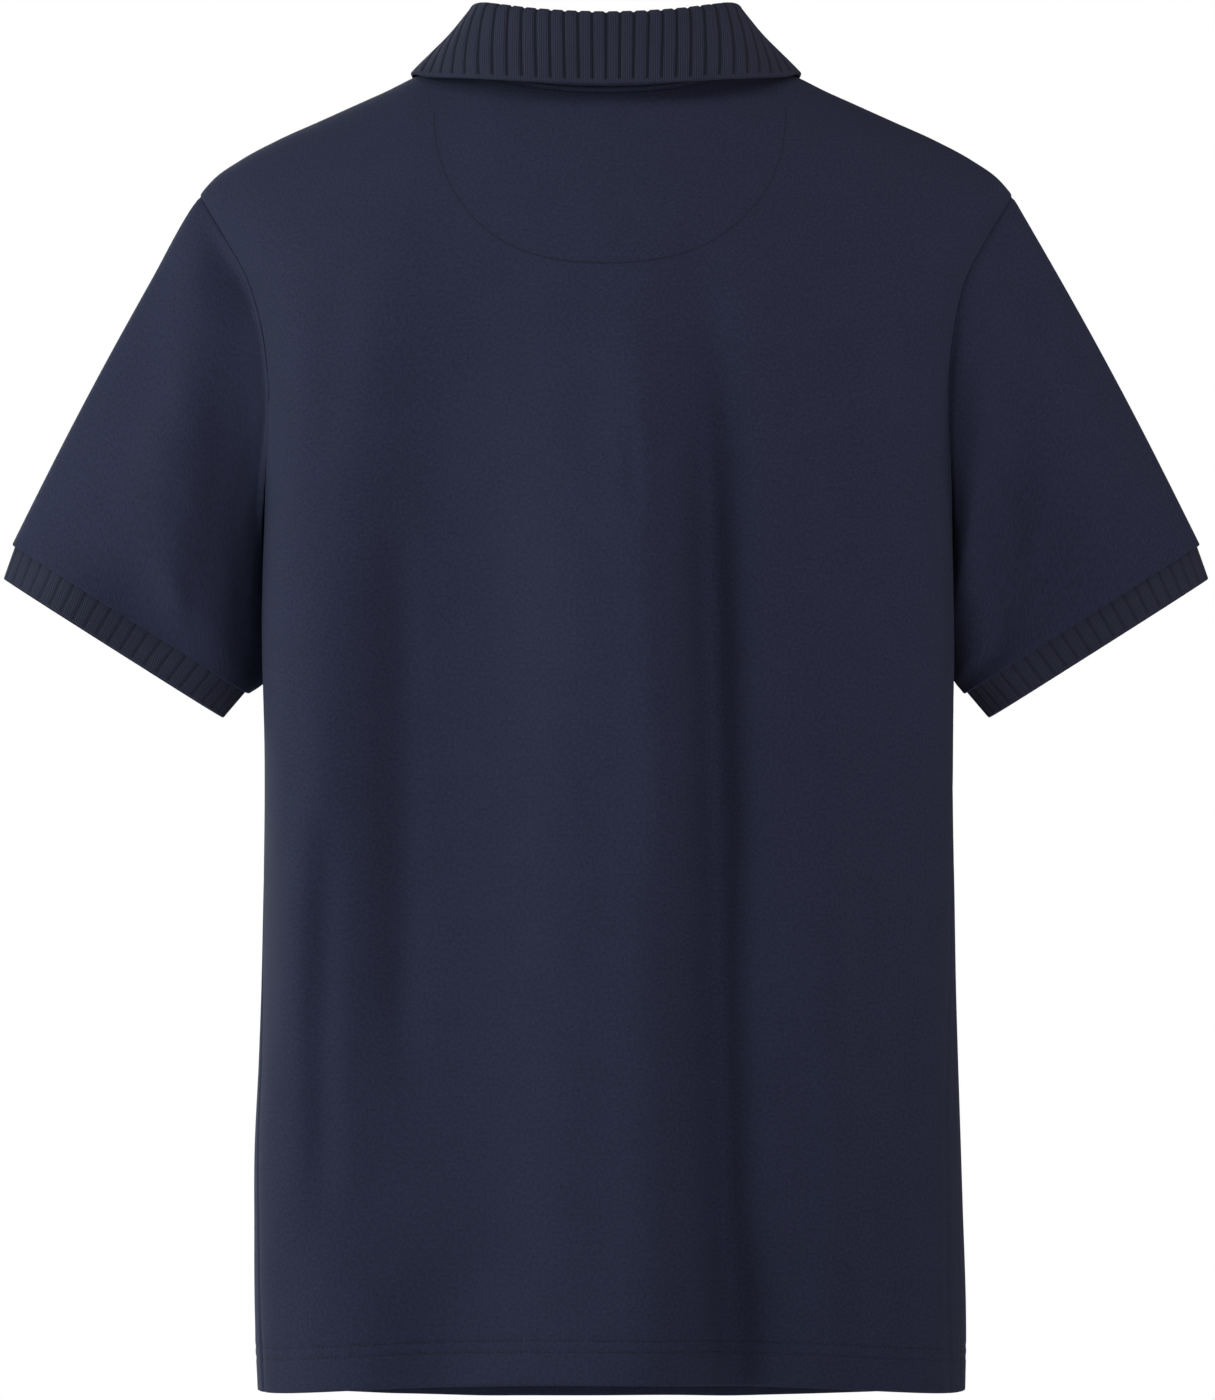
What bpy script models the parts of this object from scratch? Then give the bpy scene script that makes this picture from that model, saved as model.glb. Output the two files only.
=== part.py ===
"""A short-sleeved polo shirt, filled out as if worn, with nothing inside it.

Metres, +Z up. The wearer faces -Y, so the wearer's left is +X and the back is +Y. The origin is
the middle of the neck's base, at the height where the shoulder seams meet the collar. Every
piece that is cut and sewn is one closed wall of cloth, a seam's gap from its neighbours.
"""
import math

import bmesh
import bpy
import numpy as np
from mathutils import Matrix, Vector

MM = 0.001
DEG = math.pi / 180.0

# ---------------------------------------------------------------- driving sizes
CLOTH = 1.5 * MM                # jersey pique of the body and the sleeves
RIB_KNIT = 2.0 * MM             # collar and cuffs, over the ribs
HEM_CLOTH = 2.8 * MM            # the hem's two layers
HEM_BAND = 24.0 * MM            # height of the turned-up hem
SEAM_GAP = 0.4 * MM             # between two pieces that are sewn together
FACET_ROOM = 2.0 * MM           # between a panel's flat facets and what lies behind them

NECK_HALF_WIDTH = 85.0 * MM     # to the point where shoulder seam and neckline meet
NECK_POINT_HEIGHT = 4.0 * MM
BACK_NECK_HEIGHT = -11.0 * MM   # the neckline's middle, behind
FRONT_NECK_HEIGHT = -75.0 * MM  # and in front
NECKLINE_POWER = 2.35           # how late the neckline turns up to the neck point

SHOULDER_TIP = (220.0 * MM, -67.5 * MM)
UNDERARM_HEIGHT = -312.0 * MM
ROUNDING_DEPTH = 150.0 * MM     # over this drop the shoulder rounds out to the full chest
RIDGE_FLAT = 0.4 * MM           # the rounding starts this far below the shoulder line
SECTION_POWER = 2.8             # 2 is an ellipse, more is boxier
UNDERARM_HOLLOW_REACH = 30.0 * MM

# hem heights: side, middle of the back, middle of the front
HEM_SIDE, HEM_BACK, HEM_FRONT = -712.0 * MM, -705.0 * MM, -721.5 * MM

# The shoulder seam's height, from the middle of the neck (where it is only a guide) to the tip.
SHOULDER_LINE = {               # millimetres
    "across": (0.0, 30.0, 60.0, 85.0, 104.5, 118.0, 130.0, 154.0, 178.0, 198.0, 213.0, 220.0, 226.0),
    "height": (31.0, 26.5, 16.5, 4.0, -4.0, -10.8, -16.2, -27.0, -37.8, -48.6, -59.4, -67.5, -76.0),
}

# The body's horizontal sections, a column for each height.
BODY = {                        # millimetres and degrees
    "height": (-730.0, -675.0, -610.0, -500.0, -420.0, -360.0, -312.0, -270.0, -235.0, -200.0,
               -167.0, -135.0, -110.7, -91.8, -67.5, -40.0, 0.0, 31.0),
    "half_width": (190.5, 191.5, 190.0, 187.0, 187.0, 189.0, 190.0, 189.5, 188.0, 188.0,
                   190.1, 196.2, 203.4, 210.8, 222.4, 232.0, 240.0, 244.0),
    "back_depth": (120.0, 119.0, 117.0, 114.0, 114.0, 117.0, 119.0, 120.0, 120.5, 121.0,
                   120.0, 117.5, 113.0, 108.0, 98.0, 86.0, 68.0, 56.0),
    "front_depth": (125.0, 124.0, 122.0, 120.0, 121.0, 123.0, 125.0, 126.0, 126.5, 125.0,
                    119.0, 107.0, 93.0, 82.0, 67.0, 60.0, 50.0, 44.0),
    "underarm_hollow": (0.0, 0.0, 0.0, 0.0, 2.0, 8.0, 13.0, 15.5, 11.0, 0.0,
                        0.0, 0.0, 0.0, 0.0, 0.0, 0.0, 0.0, 0.0),
    "sway": (-3.0, -2.8, -2.4, -2.0, -2.0, -2.0, -2.4, -2.6, -2.8, -2.5,
             -2.0, -1.2, -0.3, 0.0, 0.0, 0.0, 0.0, 0.0),
}

# Where the armhole cuts the body, as the turn away from the side, and the side seam below it.
ARMHOLE = {                     # millimetres and degrees
    "height": (-312.0, -310.0, -306.0, -297.0, -270.0, -235.0, -200.0, -167.0, -135.0, -110.7,
               -91.8, -67.5),
    "turn_back": (0.0, 0.8, 2.0, 3.8, 8.0, 13.6, 17.8, 19.8, 20.8, 19.5, 14.9, 10.0),
    "turn_front": (0.0, 0.9, 2.3, 4.6, 10.0, 17.0, 22.5, 25.0, 26.0, 24.0, 18.0, 10.0),
}
SIDE_SEAM = {                   # the seam runs a little to the back lower down
    "height": (-730.0, -600.0, -450.0, -330.0, -312.0),
    "turn": (13.8, 13.5, 7.0, 0.8, 0.0),
}

# Folds of the filled-out cloth: a path from (x, z) to (x, z), its half width at either end and
# how far the cloth stands out (+) or falls in (-). Millimetres.
FOLD_COLUMNS = ("x_high", "z_high", "x_low", "z_low", "wide_high", "wide_low", "out")
BACK_FOLDS = {
    "left_blade_trough": (85, -25, 135, -770, 32, 48, -4.4),
    "left_waist_trough": (149, -360, 186, -633, 11, 13, 3.2),
    "middle_ridge": (7, -103, -30, -880, 42, 40, 9.4),
    "long_right_trough": (-48, -69, -66, -860, 12, 15, -9.6),
    "blade_ridge": (-13, -84, -41, -485, 23, 15, 6.0),
    "left_armhole_trough": (136, -69, 175, -392, 14, 12, -1.6),
    "right_armhole_dent": (-149, -84, -171, -230, 10, 10, -3.0),
    "left_hem_side_trough": (159, -608, 184, -744, 10, 23, -2.0),
    "left_hem_ridge": (145, -503, 151, -755, 14, 16, -1.4),
    "left_hem_trough": (90, -615, 110, -880, 36, 28, -6.1),
    "right_hem_pucker": (-77, -604, -79, -815, 23, 20, -7.0),
    "left_side_crease": (165, -338, 167, -411, 10, 10, -2.2),
    "right_side_low_crease": (-163, -409, -161, -680, 12, 13, 1.6),
    "left_flank_fullness": (158, -90, 160, -760, 20, 22, 4.8),
    "middle_crease": (4, -291, -3, -726, 22, 22, -3.4),
    "right_blade_crease": (-122, -38, -134, -345, 27, 19, -6.2),
    "right_low_crease": (-141, -549, -140, -699, 10, 21, -3.6),
    "right_plateau": (-146, -56, -131, -791, 33, 20, 9.0),
    "left_plateau": (171, -60, 186, -774, 21, 13, 8.3),
    "ridge_side_trough": (63, -175, 72, -812, 47, 40, -9.4),
    "right_inner_ridge": (-85, -104, -119, -597, 22, 37, 4.9),
    "left_shoulder_hollow": (53, -42, 62, -341, 37, 24, -4.5),
    "right_flank_trough": (-133, -250, -138, -605, 19, 10, -6.5),
    "right_blade_trough": (-155, -93, -155, -696, 20, 17, -6.2),
    "left_edge_trough": (186, -283, 174, -627, 12, 10, -6.1),
}
FRONT_FOLDS = {
    "left_chest_trough": (108, -170, 96, -600, 15, 22, -6.0),
    "right_chest_trough": (-102, -150, -120, -680, 14, 24, -8.0),
    "middle_ridge": (-34, -290, -30, -830, 26, 28, 4.0),
    "left_waist_trough": (150, -350, 172, -620, 12, 14, -5.0),
    "right_hem_trough": (-62, -500, -72, -840, 14, 20, -5.0),
    "left_hem_trough": (58, -540, 76, -840, 14, 20, -4.5),
    "left_armhole_dent": (170, -120, 148, -190, 9, 12, -3.0),
    "right_armhole_dent": (-172, -110, -150, -200, 9, 12, -3.5),
}
FOLD_FADE = 0.28                # the part of a fold's length over which it dies away at each end
FOLD_FREE_EDGE = 30.0 * MM      # folds die away this close to a side or shoulder seam
FOLD_WAY = (0.3, 1.0, 1.0)      # a fold moves the cloth in and out far more than sideways

# Sleeve: from the armhole to an oval end, whose long axis runs in the XZ plane.
SLEEVE_END_OUTER = (320.8 * MM, -256.5 * MM)
SLEEVE_END_INNER = (193.3 * MM, -337.0 * MM)
SLEEVE_END_HALF_DEPTH = 36.0 * MM
SLEEVE_TOP_PUFF = 2.2 * MM      # the top edge bows out by this much, halfway along
SLEEVE_TOP_WAY = (0.88, 0.47)   # across and up
SLEEVE_UNDERSIDE_SAG = {1: 4.5 * MM, -1: 1.5 * MM}     # left and right
SLEEVE_UNDERSIDE_WAY = (-0.8, -0.6)
SLEEVE_RIM_BLEND = 0.1          # along this share the armhole's outline turns into a smooth loop
SLEEVE_STEP = 0.8 * MM          # the shoulder's edge stands this far over the sleeve's
UNDERARM_CLEARANCE = 1.0 * MM   # the sleeve stands this far off the body under the arm

SLEEVE_FOLD_COLUMNS = ("turn_start", "along_start", "turn_end", "along_end", "wide", "out")
LEFT_SLEEVE_FOLDS = {           # degrees round from the top over the back, share of the length, mm
    "back_trough": (65, -0.20, 76, 0.78, 33, -7.2),
    "back_ridge": (15, -0.04, 76, 0.71, 19, 4.7),
    "back_crease": (98, -0.19, 115, 0.47, 17, -2.0),
    "cap_crease": (34, -0.18, 47, 0.59, 17, -3.4),
    "end_crease": (63, 0.63, 49, 1.11, 20, -3.4),
    "inner_ridge": (110, 0.39, 130, 1.19, 18, 2.6),
    "outer_fullness": (79, 0.12, 63, 1.08, 26, 4.3),
    "lower_fullness": (73, 0.25, 124, 1.20, 20, 5.9),
    "front_trough": (262, 0.05, 285, 0.95, 18, -2.4),
}
RIGHT_SLEEVE_FOLDS = {
    "back_trough": (49, 0.15, 103, 0.69, 20, -3.5),
    "back_low_trough": (110, 0.21, 139, 1.25, 17, -5.5),
    "inner_ridge": (112, -0.01, 130, 1.02, 33, 3.9),
    "outer_fullness": (73, -0.09, 62, 0.96, 27, 4.1),
    "inner_trough": (86, 0.18, 113, 0.86, 13, -2.2),
    "lower_fullness": (85, 0.53, 101, 1.18, 24, -4.6),
    "front_trough": (255, 0.05, 290, 1.00, 18, -2.7),
}
SLEEVE_SEAM_HOLDS = 0.08        # the armhole seam keeps this share of the length free of folds,
SLEEVE_CUFF_HOLDS = 0.72        # and the cuff flattens them from here to the end

# Cuff: a ring of rib knit, sewn inside the sleeve's end.
CUFF_OUTER = (325.4 * MM, -275.0 * MM)
CUFF_INNER = (206.8 * MM, -350.0 * MM)
CUFF_HALF_DEPTH = 33.5 * MM
CUFF_TUCK = 0.16                # hidden part, as a share of the part that shows
CUFF_TILT = 0.03                # the front of the edge hangs this much lower, by its depth
CUFF_RIBS = 46
CUFF_ROWS = (-CUFF_TUCK, 0.45, 1.0)     # along the cuff, 1 at its edge
CUFF_CLEARANCE = 1.0 * MM       # inside the sleeve's end

# Collar: one strip of rib knit. The rails run from the middle of the back to the front end.
FOLD_LINE = {                   # where the collar turns over, millimetres
    "x": (0.0, 20.0, 40.0, 57.0, 67.0, 69.5, 66.0, 54.0, 34.0, 7.0),
    "y": (46.0, 45.0, 41.0, 33.0, 20.0, 2.0, -20.0, -41.0, -56.5, -63.5),
    "z": (29.6, 30.2, 31.8, 34.2, 35.6, 34.0, 24.0, 4.0, -21.0, -44.0),
}
LEAF_EDGE = {                   # the free edge of the part that falls outside
    "x": (0.0, 30.0, 56.0, 78.5, 96.5, 105.3, 103.5, 92.5, 72.0, 50.0),
    "y": (61.0, 59.5, 53.5, 42.0, 24.0, 4.0, -19.0, -44.0, -68.0, -93.0),
    "z": (-9.9, -9.0, -7.4, -5.8, -4.0, -1.6, -7.0, -31.0, -66.0, -103.0),
}
COLLAR_RIBS = 60
NECK_MIDDLE_Y = -8.0 * MM       # the neck's own middle, a little to the front
COLLAR_TURN_RADIUS = 4.5 * MM
NECK_FRONT_GAP = 0.05           # the strip's ends stop this short of the front's middle, radians
LEAF_SPREAD = 0.26              # how much more the leaf's edge is stretched toward the front
LEAF_BOW = 3.0 * MM             # the leaf bows away from the neck, most at the sides
LEAF_BOW_AT, LEAF_BOW_WIDE = 0.42, 0.20     # as shares of the way to the front end
LEAF_BOW_BEHIND = 0.25          # the bow's part that is left at the back
LEAF_DEPTH = 38.0 * MM
LEAF_PLAIN_EDGE = 2.7 * MM      # the edge without ribs
COLLAR_END = 1.0 - 2e-3         # the strip stops just short of its rails' ends
# rows: 0 at the neck seam, 1 and 2 where the turn-over begins and ends, 3 at the free edge
COLLAR_ROWS = (0.0, 0.55, 1.0, 1.3, 1.7, 2.0, 2.45, 3.0 - LEAF_PLAIN_EDGE / LEAF_DEPTH, 3.0)

RIB_DEPTH = 0.7 * MM
RIB_GROOVE_SHARE = 0.16         # half a groove, as a share of the ribs' spacing

# Placket and buttons
PLACKET_HALF_WIDTH = 17.0 * MM
PLACKET_BOTTOM = -250.0 * MM
PLACKET_CLOTH = 1.6 * MM
PLACKET_TOP_GAP = 1.5 * MM      # below the neckline
PLACKET_COLUMNS, PLACKET_ROWS = 6, 14
SLOT_HALF_WIDTH = 13.0 * MM     # the opening that the bands cover
SLOT_BOTTOM = -240.0 * MM
BUTTON_RADIUS = 5.75 * MM
BUTTON_HEIGHT = 2.4 * MM
BUTTON_BEVEL = 0.5 * MM
BUTTON_RIM = 1.2 * MM           # width of the raised rim
BUTTON_DISH = 0.6 * MM          # depth of the middle, below the rim
BUTTON_AIR = 0.3 * MM           # between the button and the band
BUTTON_SEGMENTS = 20
BUTTON_PLACES = (-98.0 * MM, -158.0 * MM, -218.0 * MM)

# Half-moon patch inside the back of the neck
PATCH_HALF_WIDTH = 97.3 * MM
PATCH_MIDDLE = -22.8 * MM       # the half-moon's level diameter
PATCH_DROP = 87.2 * MM
PATCH_CLOTH = 1.2 * MM
PATCH_TOP_GAP = 2.5 * MM        # below the neckline and the shoulder seams
PATCH_COLUMNS, PATCH_ROWS = 18, 6
PATCH_CORNER = 0.9995           # the columns at the ends stop this close to the corners

# ---------------------------------------------------------------- fineness
HALF_COLUMNS_SHOULDER = 7
HALF_COLUMNS_NECK = 8
ROWS_BELOW = 9
RISES = (0.02, 0.07, 0.15, 0.27, 0.40, 0.54, 0.67, 0.79, 0.89, 0.96, 0.99, 1.0)   # rows above
SLEEVE_ROWS = 9
SLEEVE_WIDE_GAP = 14.0 * DEG    # wider gaps round the sleeve get a column between
RAIL_POINTS = 400               # on each of the collar's rails
NUDGE = 1e-4                    # step for measuring a surface's slope

# ---------------------------------------------------------------- colours, linear
NAVY_CLOTH = (0.024, 0.026, 0.052, 1.0)
NAVY_RIB = (0.027, 0.029, 0.052, 1.0)
NAVY_PLASTIC = (0.012, 0.013, 0.028, 1.0)


# ---------------------------------------------------------------- curves through short tables
def smooth_curve(at, places, values):
    """A smooth curve through (places, values), read at the given places."""
    slopes = np.gradient(values, places)
    left = np.clip(np.searchsorted(places, at) - 1, 0, len(places) - 2)
    gap = places[left + 1] - places[left]
    s = (at - places[left]) / gap
    return ((2 * s**3 - 3 * s**2 + 1) * values[left]
            + (s**3 - 2 * s**2 + s) * gap * slopes[left]
            + (3 * s**2 - 2 * s**3) * values[left + 1]
            + (s**3 - s**2) * gap * slopes[left + 1])


def smooth_read(at, places, values):
    """A short table in millimetres, read at places in metres and held level past its ends."""
    places = np.asarray(places, dtype=float)
    wanted = np.clip(np.asarray(at, dtype=float) / MM, places[0], places[-1])
    return smooth_curve(wanted, places, np.asarray(values, dtype=float))


def body_size(name, z):
    """One of the body's sizes at height z, in metres."""
    return smooth_read(z, BODY["height"], BODY[name]) * MM


def shoulder_height(x):
    return smooth_read(np.abs(x), SHOULDER_LINE["across"], SHOULDER_LINE["height"]) * MM


def armhole_turn(side, z):
    """How far round from the side the armhole's edge lies, in radians; 0 at the underarm."""
    column = "turn_back" if side > 0 else "turn_front"
    return np.maximum(smooth_read(z, ARMHOLE["height"], ARMHOLE[column]), 0.0) * DEG


def seam_turn(z):
    return smooth_read(z, SIDE_SEAM["height"], SIDE_SEAM["turn"]) * DEG


def ease(value, start, end):
    """0 before start, 1 after end, smooth between."""
    s = np.clip((np.asarray(value) - start) / (end - start), 0.0, 1.0)
    return s * s * (3.0 - 2.0 * s)


def unit(vectors):
    return vectors / np.maximum(np.linalg.norm(vectors, axis=-1, keepdims=True), 1e-12)


def stack(x, y, z):
    return np.stack(np.broadcast_arrays(x, y, z), axis=-1)


# ---------------------------------------------------------------- the body's form
def body_form(turn, z):
    """The plain form. turn runs from the wearer's left side (0) over the back (90 degrees)."""
    power = 2.0 / SECTION_POWER
    across = np.sign(np.cos(turn)) * np.abs(np.cos(turn)) ** power
    along = np.sign(np.sin(turn)) * np.abs(np.sin(turn)) ** power
    depth = np.where(along >= 0, body_size("back_depth", z), body_size("front_depth", z))
    x = body_size("half_width", z) * across
    drop = np.clip((shoulder_height(x) - z - RIDGE_FLAT) / ROUNDING_DEPTH, 0.0, 1.0)
    y = depth * np.sqrt(np.maximum(1.0 - (1.0 - drop) ** 2, 0.0)) * along
    hollow = body_size("underarm_hollow", z) * np.exp(-(y / UNDERARM_HOLLOW_REACH) ** 2)
    return stack(x - np.sign(x) * hollow + body_size("sway", z), y, z)


def fold_height(folds, x, z):
    """How far the cloth stands out at (x, z) for a table of folds."""
    total = np.zeros(np.broadcast(x, z).shape)
    for row in folds.values():
        fold = dict(zip(FOLD_COLUMNS, (value * MM for value in row)))
        share = (fold["z_high"] - z) / (fold["z_high"] - fold["z_low"])
        middle = fold["x_high"] + (fold["x_low"] - fold["x_high"]) * share
        wide = fold["wide_high"] + (fold["wide_low"] - fold["wide_high"]) * np.clip(share, 0, 1)
        fade = ease(share, 0.0, FOLD_FADE) * ease(1.0 - share, 0.0, FOLD_FADE)
        total = total + fold["out"] * fade * np.exp(-((x - middle) / wide) ** 2)
    return total


def slope_normal(surface, first, second):
    """Outward normals of surface(first, second), from four points close by."""
    along_first = surface(first + NUDGE, second) - surface(first - NUDGE, second)
    along_second = surface(first, second + NUDGE) - surface(first, second - NUDGE)
    return unit(np.cross(along_first, along_second))


def body_surface(turn, z):
    """The outer face of the body's cloth, with its folds."""
    plain = body_form(turn, z)
    folds = np.where(plain[..., 1] >= 0,
                     fold_height(BACK_FOLDS, plain[..., 0], plain[..., 2]),
                     fold_height(FRONT_FOLDS, plain[..., 0], plain[..., 2]))
    folds = folds * ease(np.abs(plain[..., 1]), 0.0, FOLD_FREE_EDGE)
    return plain + slope_normal(body_form, turn, z) * folds[..., None] * FOLD_WAY


def body_normal(turn, z):
    """Outward normals; along the shoulder line, where the form ends, they stand square to it."""
    normal = slope_normal(body_surface, turn, z)
    x = body_form(turn, z)[..., 0]
    fall = (shoulder_height(x + NUDGE) - shoulder_height(x - NUDGE)) / (2 * NUDGE)
    on_ridge = shoulder_height(x - body_size("sway", z)) - z < RIDGE_FLAT
    square = unit(stack(-fall, np.zeros_like(fall), np.ones_like(fall)))
    return np.where(on_ridge[..., None], square, normal)


def turn_at(side, x, z):
    """The turn at which the plain form passes x, on the back (side 1) or the front (-1)."""
    share = np.clip(np.abs(x) / body_size("half_width", z), 0.0, 1.0)
    turn = np.arccos(share ** (SECTION_POWER / 2.0))
    turn = np.where(np.asarray(x) < 0, math.pi - turn, turn)
    return turn * side


def neckline_height(side, x):
    middle = BACK_NECK_HEIGHT if side > 0 else FRONT_NECK_HEIGHT
    share = np.clip(np.abs(x) / NECK_HALF_WIDTH, 0.0, 1.0) ** NECKLINE_POWER
    return middle + (NECK_POINT_HEIGHT - middle) * share


def top_height(side, x):
    """The panel's upper edge: the neckline, and past it the shoulder seam."""
    return np.where(np.abs(x) < NECK_HALF_WIDTH, neckline_height(side, x), shoulder_height(x))


# ---------------------------------------------------------------- the panels' grids
def armhole_row(side, rise):
    """The armhole's edge on a row that stands this share of the way up to the shoulder."""
    z = UNDERARM_HEIGHT + (SHOULDER_TIP[1] - UNDERARM_HEIGHT) * rise
    return armhole_turn(side, z), z


def half_panel(side):
    """(turn, z) of a panel's left half: rows from the hem up, columns from the side inward."""
    shoulder = np.linspace(SHOULDER_TIP[0], NECK_HALF_WIDTH, HALF_COLUMNS_SHOULDER + 1)
    neck_turns = np.linspace(90.0, 0.0, HALF_COLUMNS_NECK + 1)[1:] * DEG
    top_x = np.concatenate([shoulder, NECK_HALF_WIDTH * np.sin(neck_turns)])
    step = np.linspace(0.0, 1.0, len(top_x))
    even_x = np.cos(step * math.pi / 2) ** (2.0 / SECTION_POWER)
    middle_hem = HEM_BACK if side > 0 else HEM_FRONT
    hem = HEM_SIDE + (middle_hem - HEM_SIDE) * np.sin(step * math.pi / 2) ** 2
    band = HEM_BAND / (UNDERARM_HEIGHT - HEM_SIDE)
    turns, heights = [], []
    for share in np.concatenate([[0.0, band], np.linspace(band + 0.005, 1.0, ROWS_BELOW)]):
        z = hem + (UNDERARM_HEIGHT - hem) * share
        start = side * float(seam_turn(z[0]))
        turn = start + (math.pi / 2 - start) * step
        turn[-2] = turn_at(1, SLOT_HALF_WIDTH, z[-2])
        turns.append(turn)
        heights.append(z)
    for rise in RISES:
        edge_turn, edge_z = armhole_row(side, rise)
        edge_x = body_size("half_width", edge_z) * np.cos(edge_turn) ** (2.0 / SECTION_POWER)
        x = edge_x * (even_x * (1.0 - rise) + top_x / top_x[0] * rise)
        x[-2:] = (SLOT_HALF_WIDTH, 0.0)
        z = UNDERARM_HEIGHT + (top_height(side, x) - UNDERARM_HEIGHT) * rise
        z[0] = edge_z
        turn = turn_at(1, x, z)
        turn[0] = edge_turn
        turns.append(turn)
        heights.append(z)
    return side * np.array(turns), np.array(heights)


def whole_panel(side):
    """Mirrors the left half's grid to the right."""
    turns, heights = half_panel(side)
    other = side * math.pi - turns
    return (np.concatenate([turns, other[:, -2::-1]], axis=1),
            np.concatenate([heights, heights[:, -2::-1]], axis=1))


def cloth_thickness(z):
    """The hem's two rows are thicker."""
    thick = np.full(z.shape, CLOTH)
    thick[:2] = HEM_CLOTH
    return thick


def apart(points, side):
    """Moves a panel half a seam's gap away from its neighbour."""
    return points + np.array([0.0, side * SEAM_GAP / 2, 0.0])


# ---------------------------------------------------------------- meshes
def fabric(name, colour, roughness):
    material = bpy.data.materials.new(name)
    material.use_nodes = True
    shader = material.node_tree.nodes["Principled BSDF"]
    shader.inputs["Base Color"].default_value = colour
    shader.inputs["Roughness"].default_value = roughness
    shader.inputs["Metallic"].default_value = 0.0
    material.diffuse_color = colour
    return material


def add_object(name, vertices, faces, material):
    """One closed piece, faces outward, smooth but for its edges."""
    mesh = bpy.data.meshes.new(name)
    mesh.from_pydata([tuple(v) for v in vertices], [], faces)
    work = bmesh.new()
    work.from_mesh(mesh)
    bmesh.ops.recalc_face_normals(work, faces=work.faces)
    work.to_mesh(mesh)
    work.free()
    mesh.shade_smooth()
    mesh.set_sharp_from_angle(angle=40.0 * DEG)
    mesh.materials.append(material)
    piece = bpy.data.objects.new(name, mesh)
    bpy.context.scene.collection.objects.link(piece)
    return piece


def wall(name, outer, inner, material, keep=None, closed=False):
    """A wall between two grids of points; keep tells which of the grid's cells hold cloth."""
    rows, columns = outer.shape[:2]
    cells_across = columns if closed else columns - 1
    if keep is None:
        keep = np.ones((rows - 1, cells_across), dtype=bool)
    count = rows * columns
    outside = []
    for row in range(rows - 1):
        for column in range(cells_across):
            if keep[row, column]:
                beside = (column + 1) % columns
                outside.append((row * columns + column, row * columns + beside,
                                (row + 1) * columns + beside, (row + 1) * columns + column))
    inside = [tuple(count + corner for corner in reversed(face)) for face in outside]
    edges = {(face[i], face[(i + 1) % 4]) for face in outside for i in range(4)}
    rim = [(b, a, count + a, count + b) for a, b in sorted(edges) if (b, a) not in edges]
    vertices = np.concatenate([outer.reshape(-1, 3), inner.reshape(-1, 3)])
    faces = outside + inside + rim
    used = sorted({corner for face in faces for corner in face})
    new_place = {old: new for new, old in enumerate(used)}
    faces = [tuple(new_place[corner] for corner in face) for face in faces]
    return add_object(name, vertices[used], faces, material)


def ribbed_wall(name, face, plain, material, closed):
    """Three columns of the ribbed face to each column of the plain one behind it."""
    rows, fine = face.shape[:2]
    coarse = plain.shape[1]
    ribs = coarse if closed else coarse - 1
    start = rows * fine

    def front(row, column):
        return row * fine + column % fine

    def back(row, column):
        return start + row * coarse + column % coarse

    faces = []
    for row in range(rows - 1):
        for column in range(3 * ribs):
            faces.append((front(row, column), front(row, column + 1),
                          front(row + 1, column + 1), front(row + 1, column)))
        for column in range(ribs):
            faces.append((back(row + 1, column), back(row + 1, column + 1),
                          back(row, column + 1), back(row, column)))
    for row in (0, rows - 1):
        for rib in range(ribs):
            first = 3 * rib
            faces.append((front(row, first), front(row, first + 1), back(row, rib)))
            faces.append((front(row, first + 1), front(row, first + 2),
                          back(row, rib + 1), back(row, rib)))
            faces.append((front(row, first + 2), front(row, first + 3), back(row, rib + 1)))
    if not closed:
        for fine_end, coarse_end in ((0, 0), (fine - 1, coarse - 1)):
            for row in range(rows - 1):
                faces.append((front(row, fine_end), front(row + 1, fine_end),
                              back(row + 1, coarse_end), back(row, coarse_end)))
    vertices = np.concatenate([face.reshape(-1, 3), plain.reshape(-1, 3)])
    return add_object(name, vertices, faces, material)


def rib_columns(ribs):
    """Where the face's columns lie, counted in ribs, and which of them are in a groove."""
    offsets = np.array([0.0, RIB_GROOVE_SHARE, 1.0 - RIB_GROOVE_SHARE])
    places = (np.arange(ribs)[:, None] + offsets[None, :]).ravel()
    grooves = np.tile([1.0, 0.0, 0.0], ribs)
    return places, grooves


# ---------------------------------------------------------------- body panels
def build_panel(name, side, material):
    turns, heights = whole_panel(side)
    outer = body_surface(turns, heights)
    normals = body_normal(turns, heights)
    inner = outer - normals * cloth_thickness(heights)[..., None]
    keep = None
    if side < 0:
        rows, columns = outer.shape[:2]
        keep = np.ones((rows - 1, columns - 1), dtype=bool)
        middle = (columns - 1) // 2
        above = heights[:-1, middle] > SLOT_BOTTOM
        keep[above, middle - 1:middle + 1] = False
    return wall(name, apart(outer, side), apart(inner, side), material, keep=keep)


# ---------------------------------------------------------------- sleeves and cuffs
def armhole_edge(side, hand):
    """The armhole on one panel, from the shoulder tip down: points, normals and the way off."""
    turn, z = armhole_row(side, np.array(RISES[::-1] + (0.0,)))
    if hand < 0:
        turn = math.pi - turn
    turn = turn * side
    points = apart(body_surface(turn, z), side)
    normals = body_normal(turn, z)
    way = unit(np.gradient(points, axis=0))
    return points, normals, unit(np.cross(normals, way)) * (-side * hand)


def armhole_loop(hand):
    """Both panels' edges as one loop, by the turn round the sleeve from the top over the back."""
    back = armhole_edge(1, hand)
    front = armhole_edge(-1, hand)
    shares = []
    for points, normals, off in (back, front):
        length = np.concatenate([[0.0], np.cumsum(np.linalg.norm(np.diff(points, axis=0), axis=1))])
        shares.append(length / length[-1] * math.pi)
    for end in (0, -1):
        for mine, other in zip(back, front):
            mine[end] = other[end] = (mine[end] + other[end]) / 2
    turns = np.concatenate([shares[0], 2 * math.pi - shares[1][-2::-1]])
    return (turns,) + tuple(np.concatenate([a, b[-2::-1]]) for a, b in zip(back, front))


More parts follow.
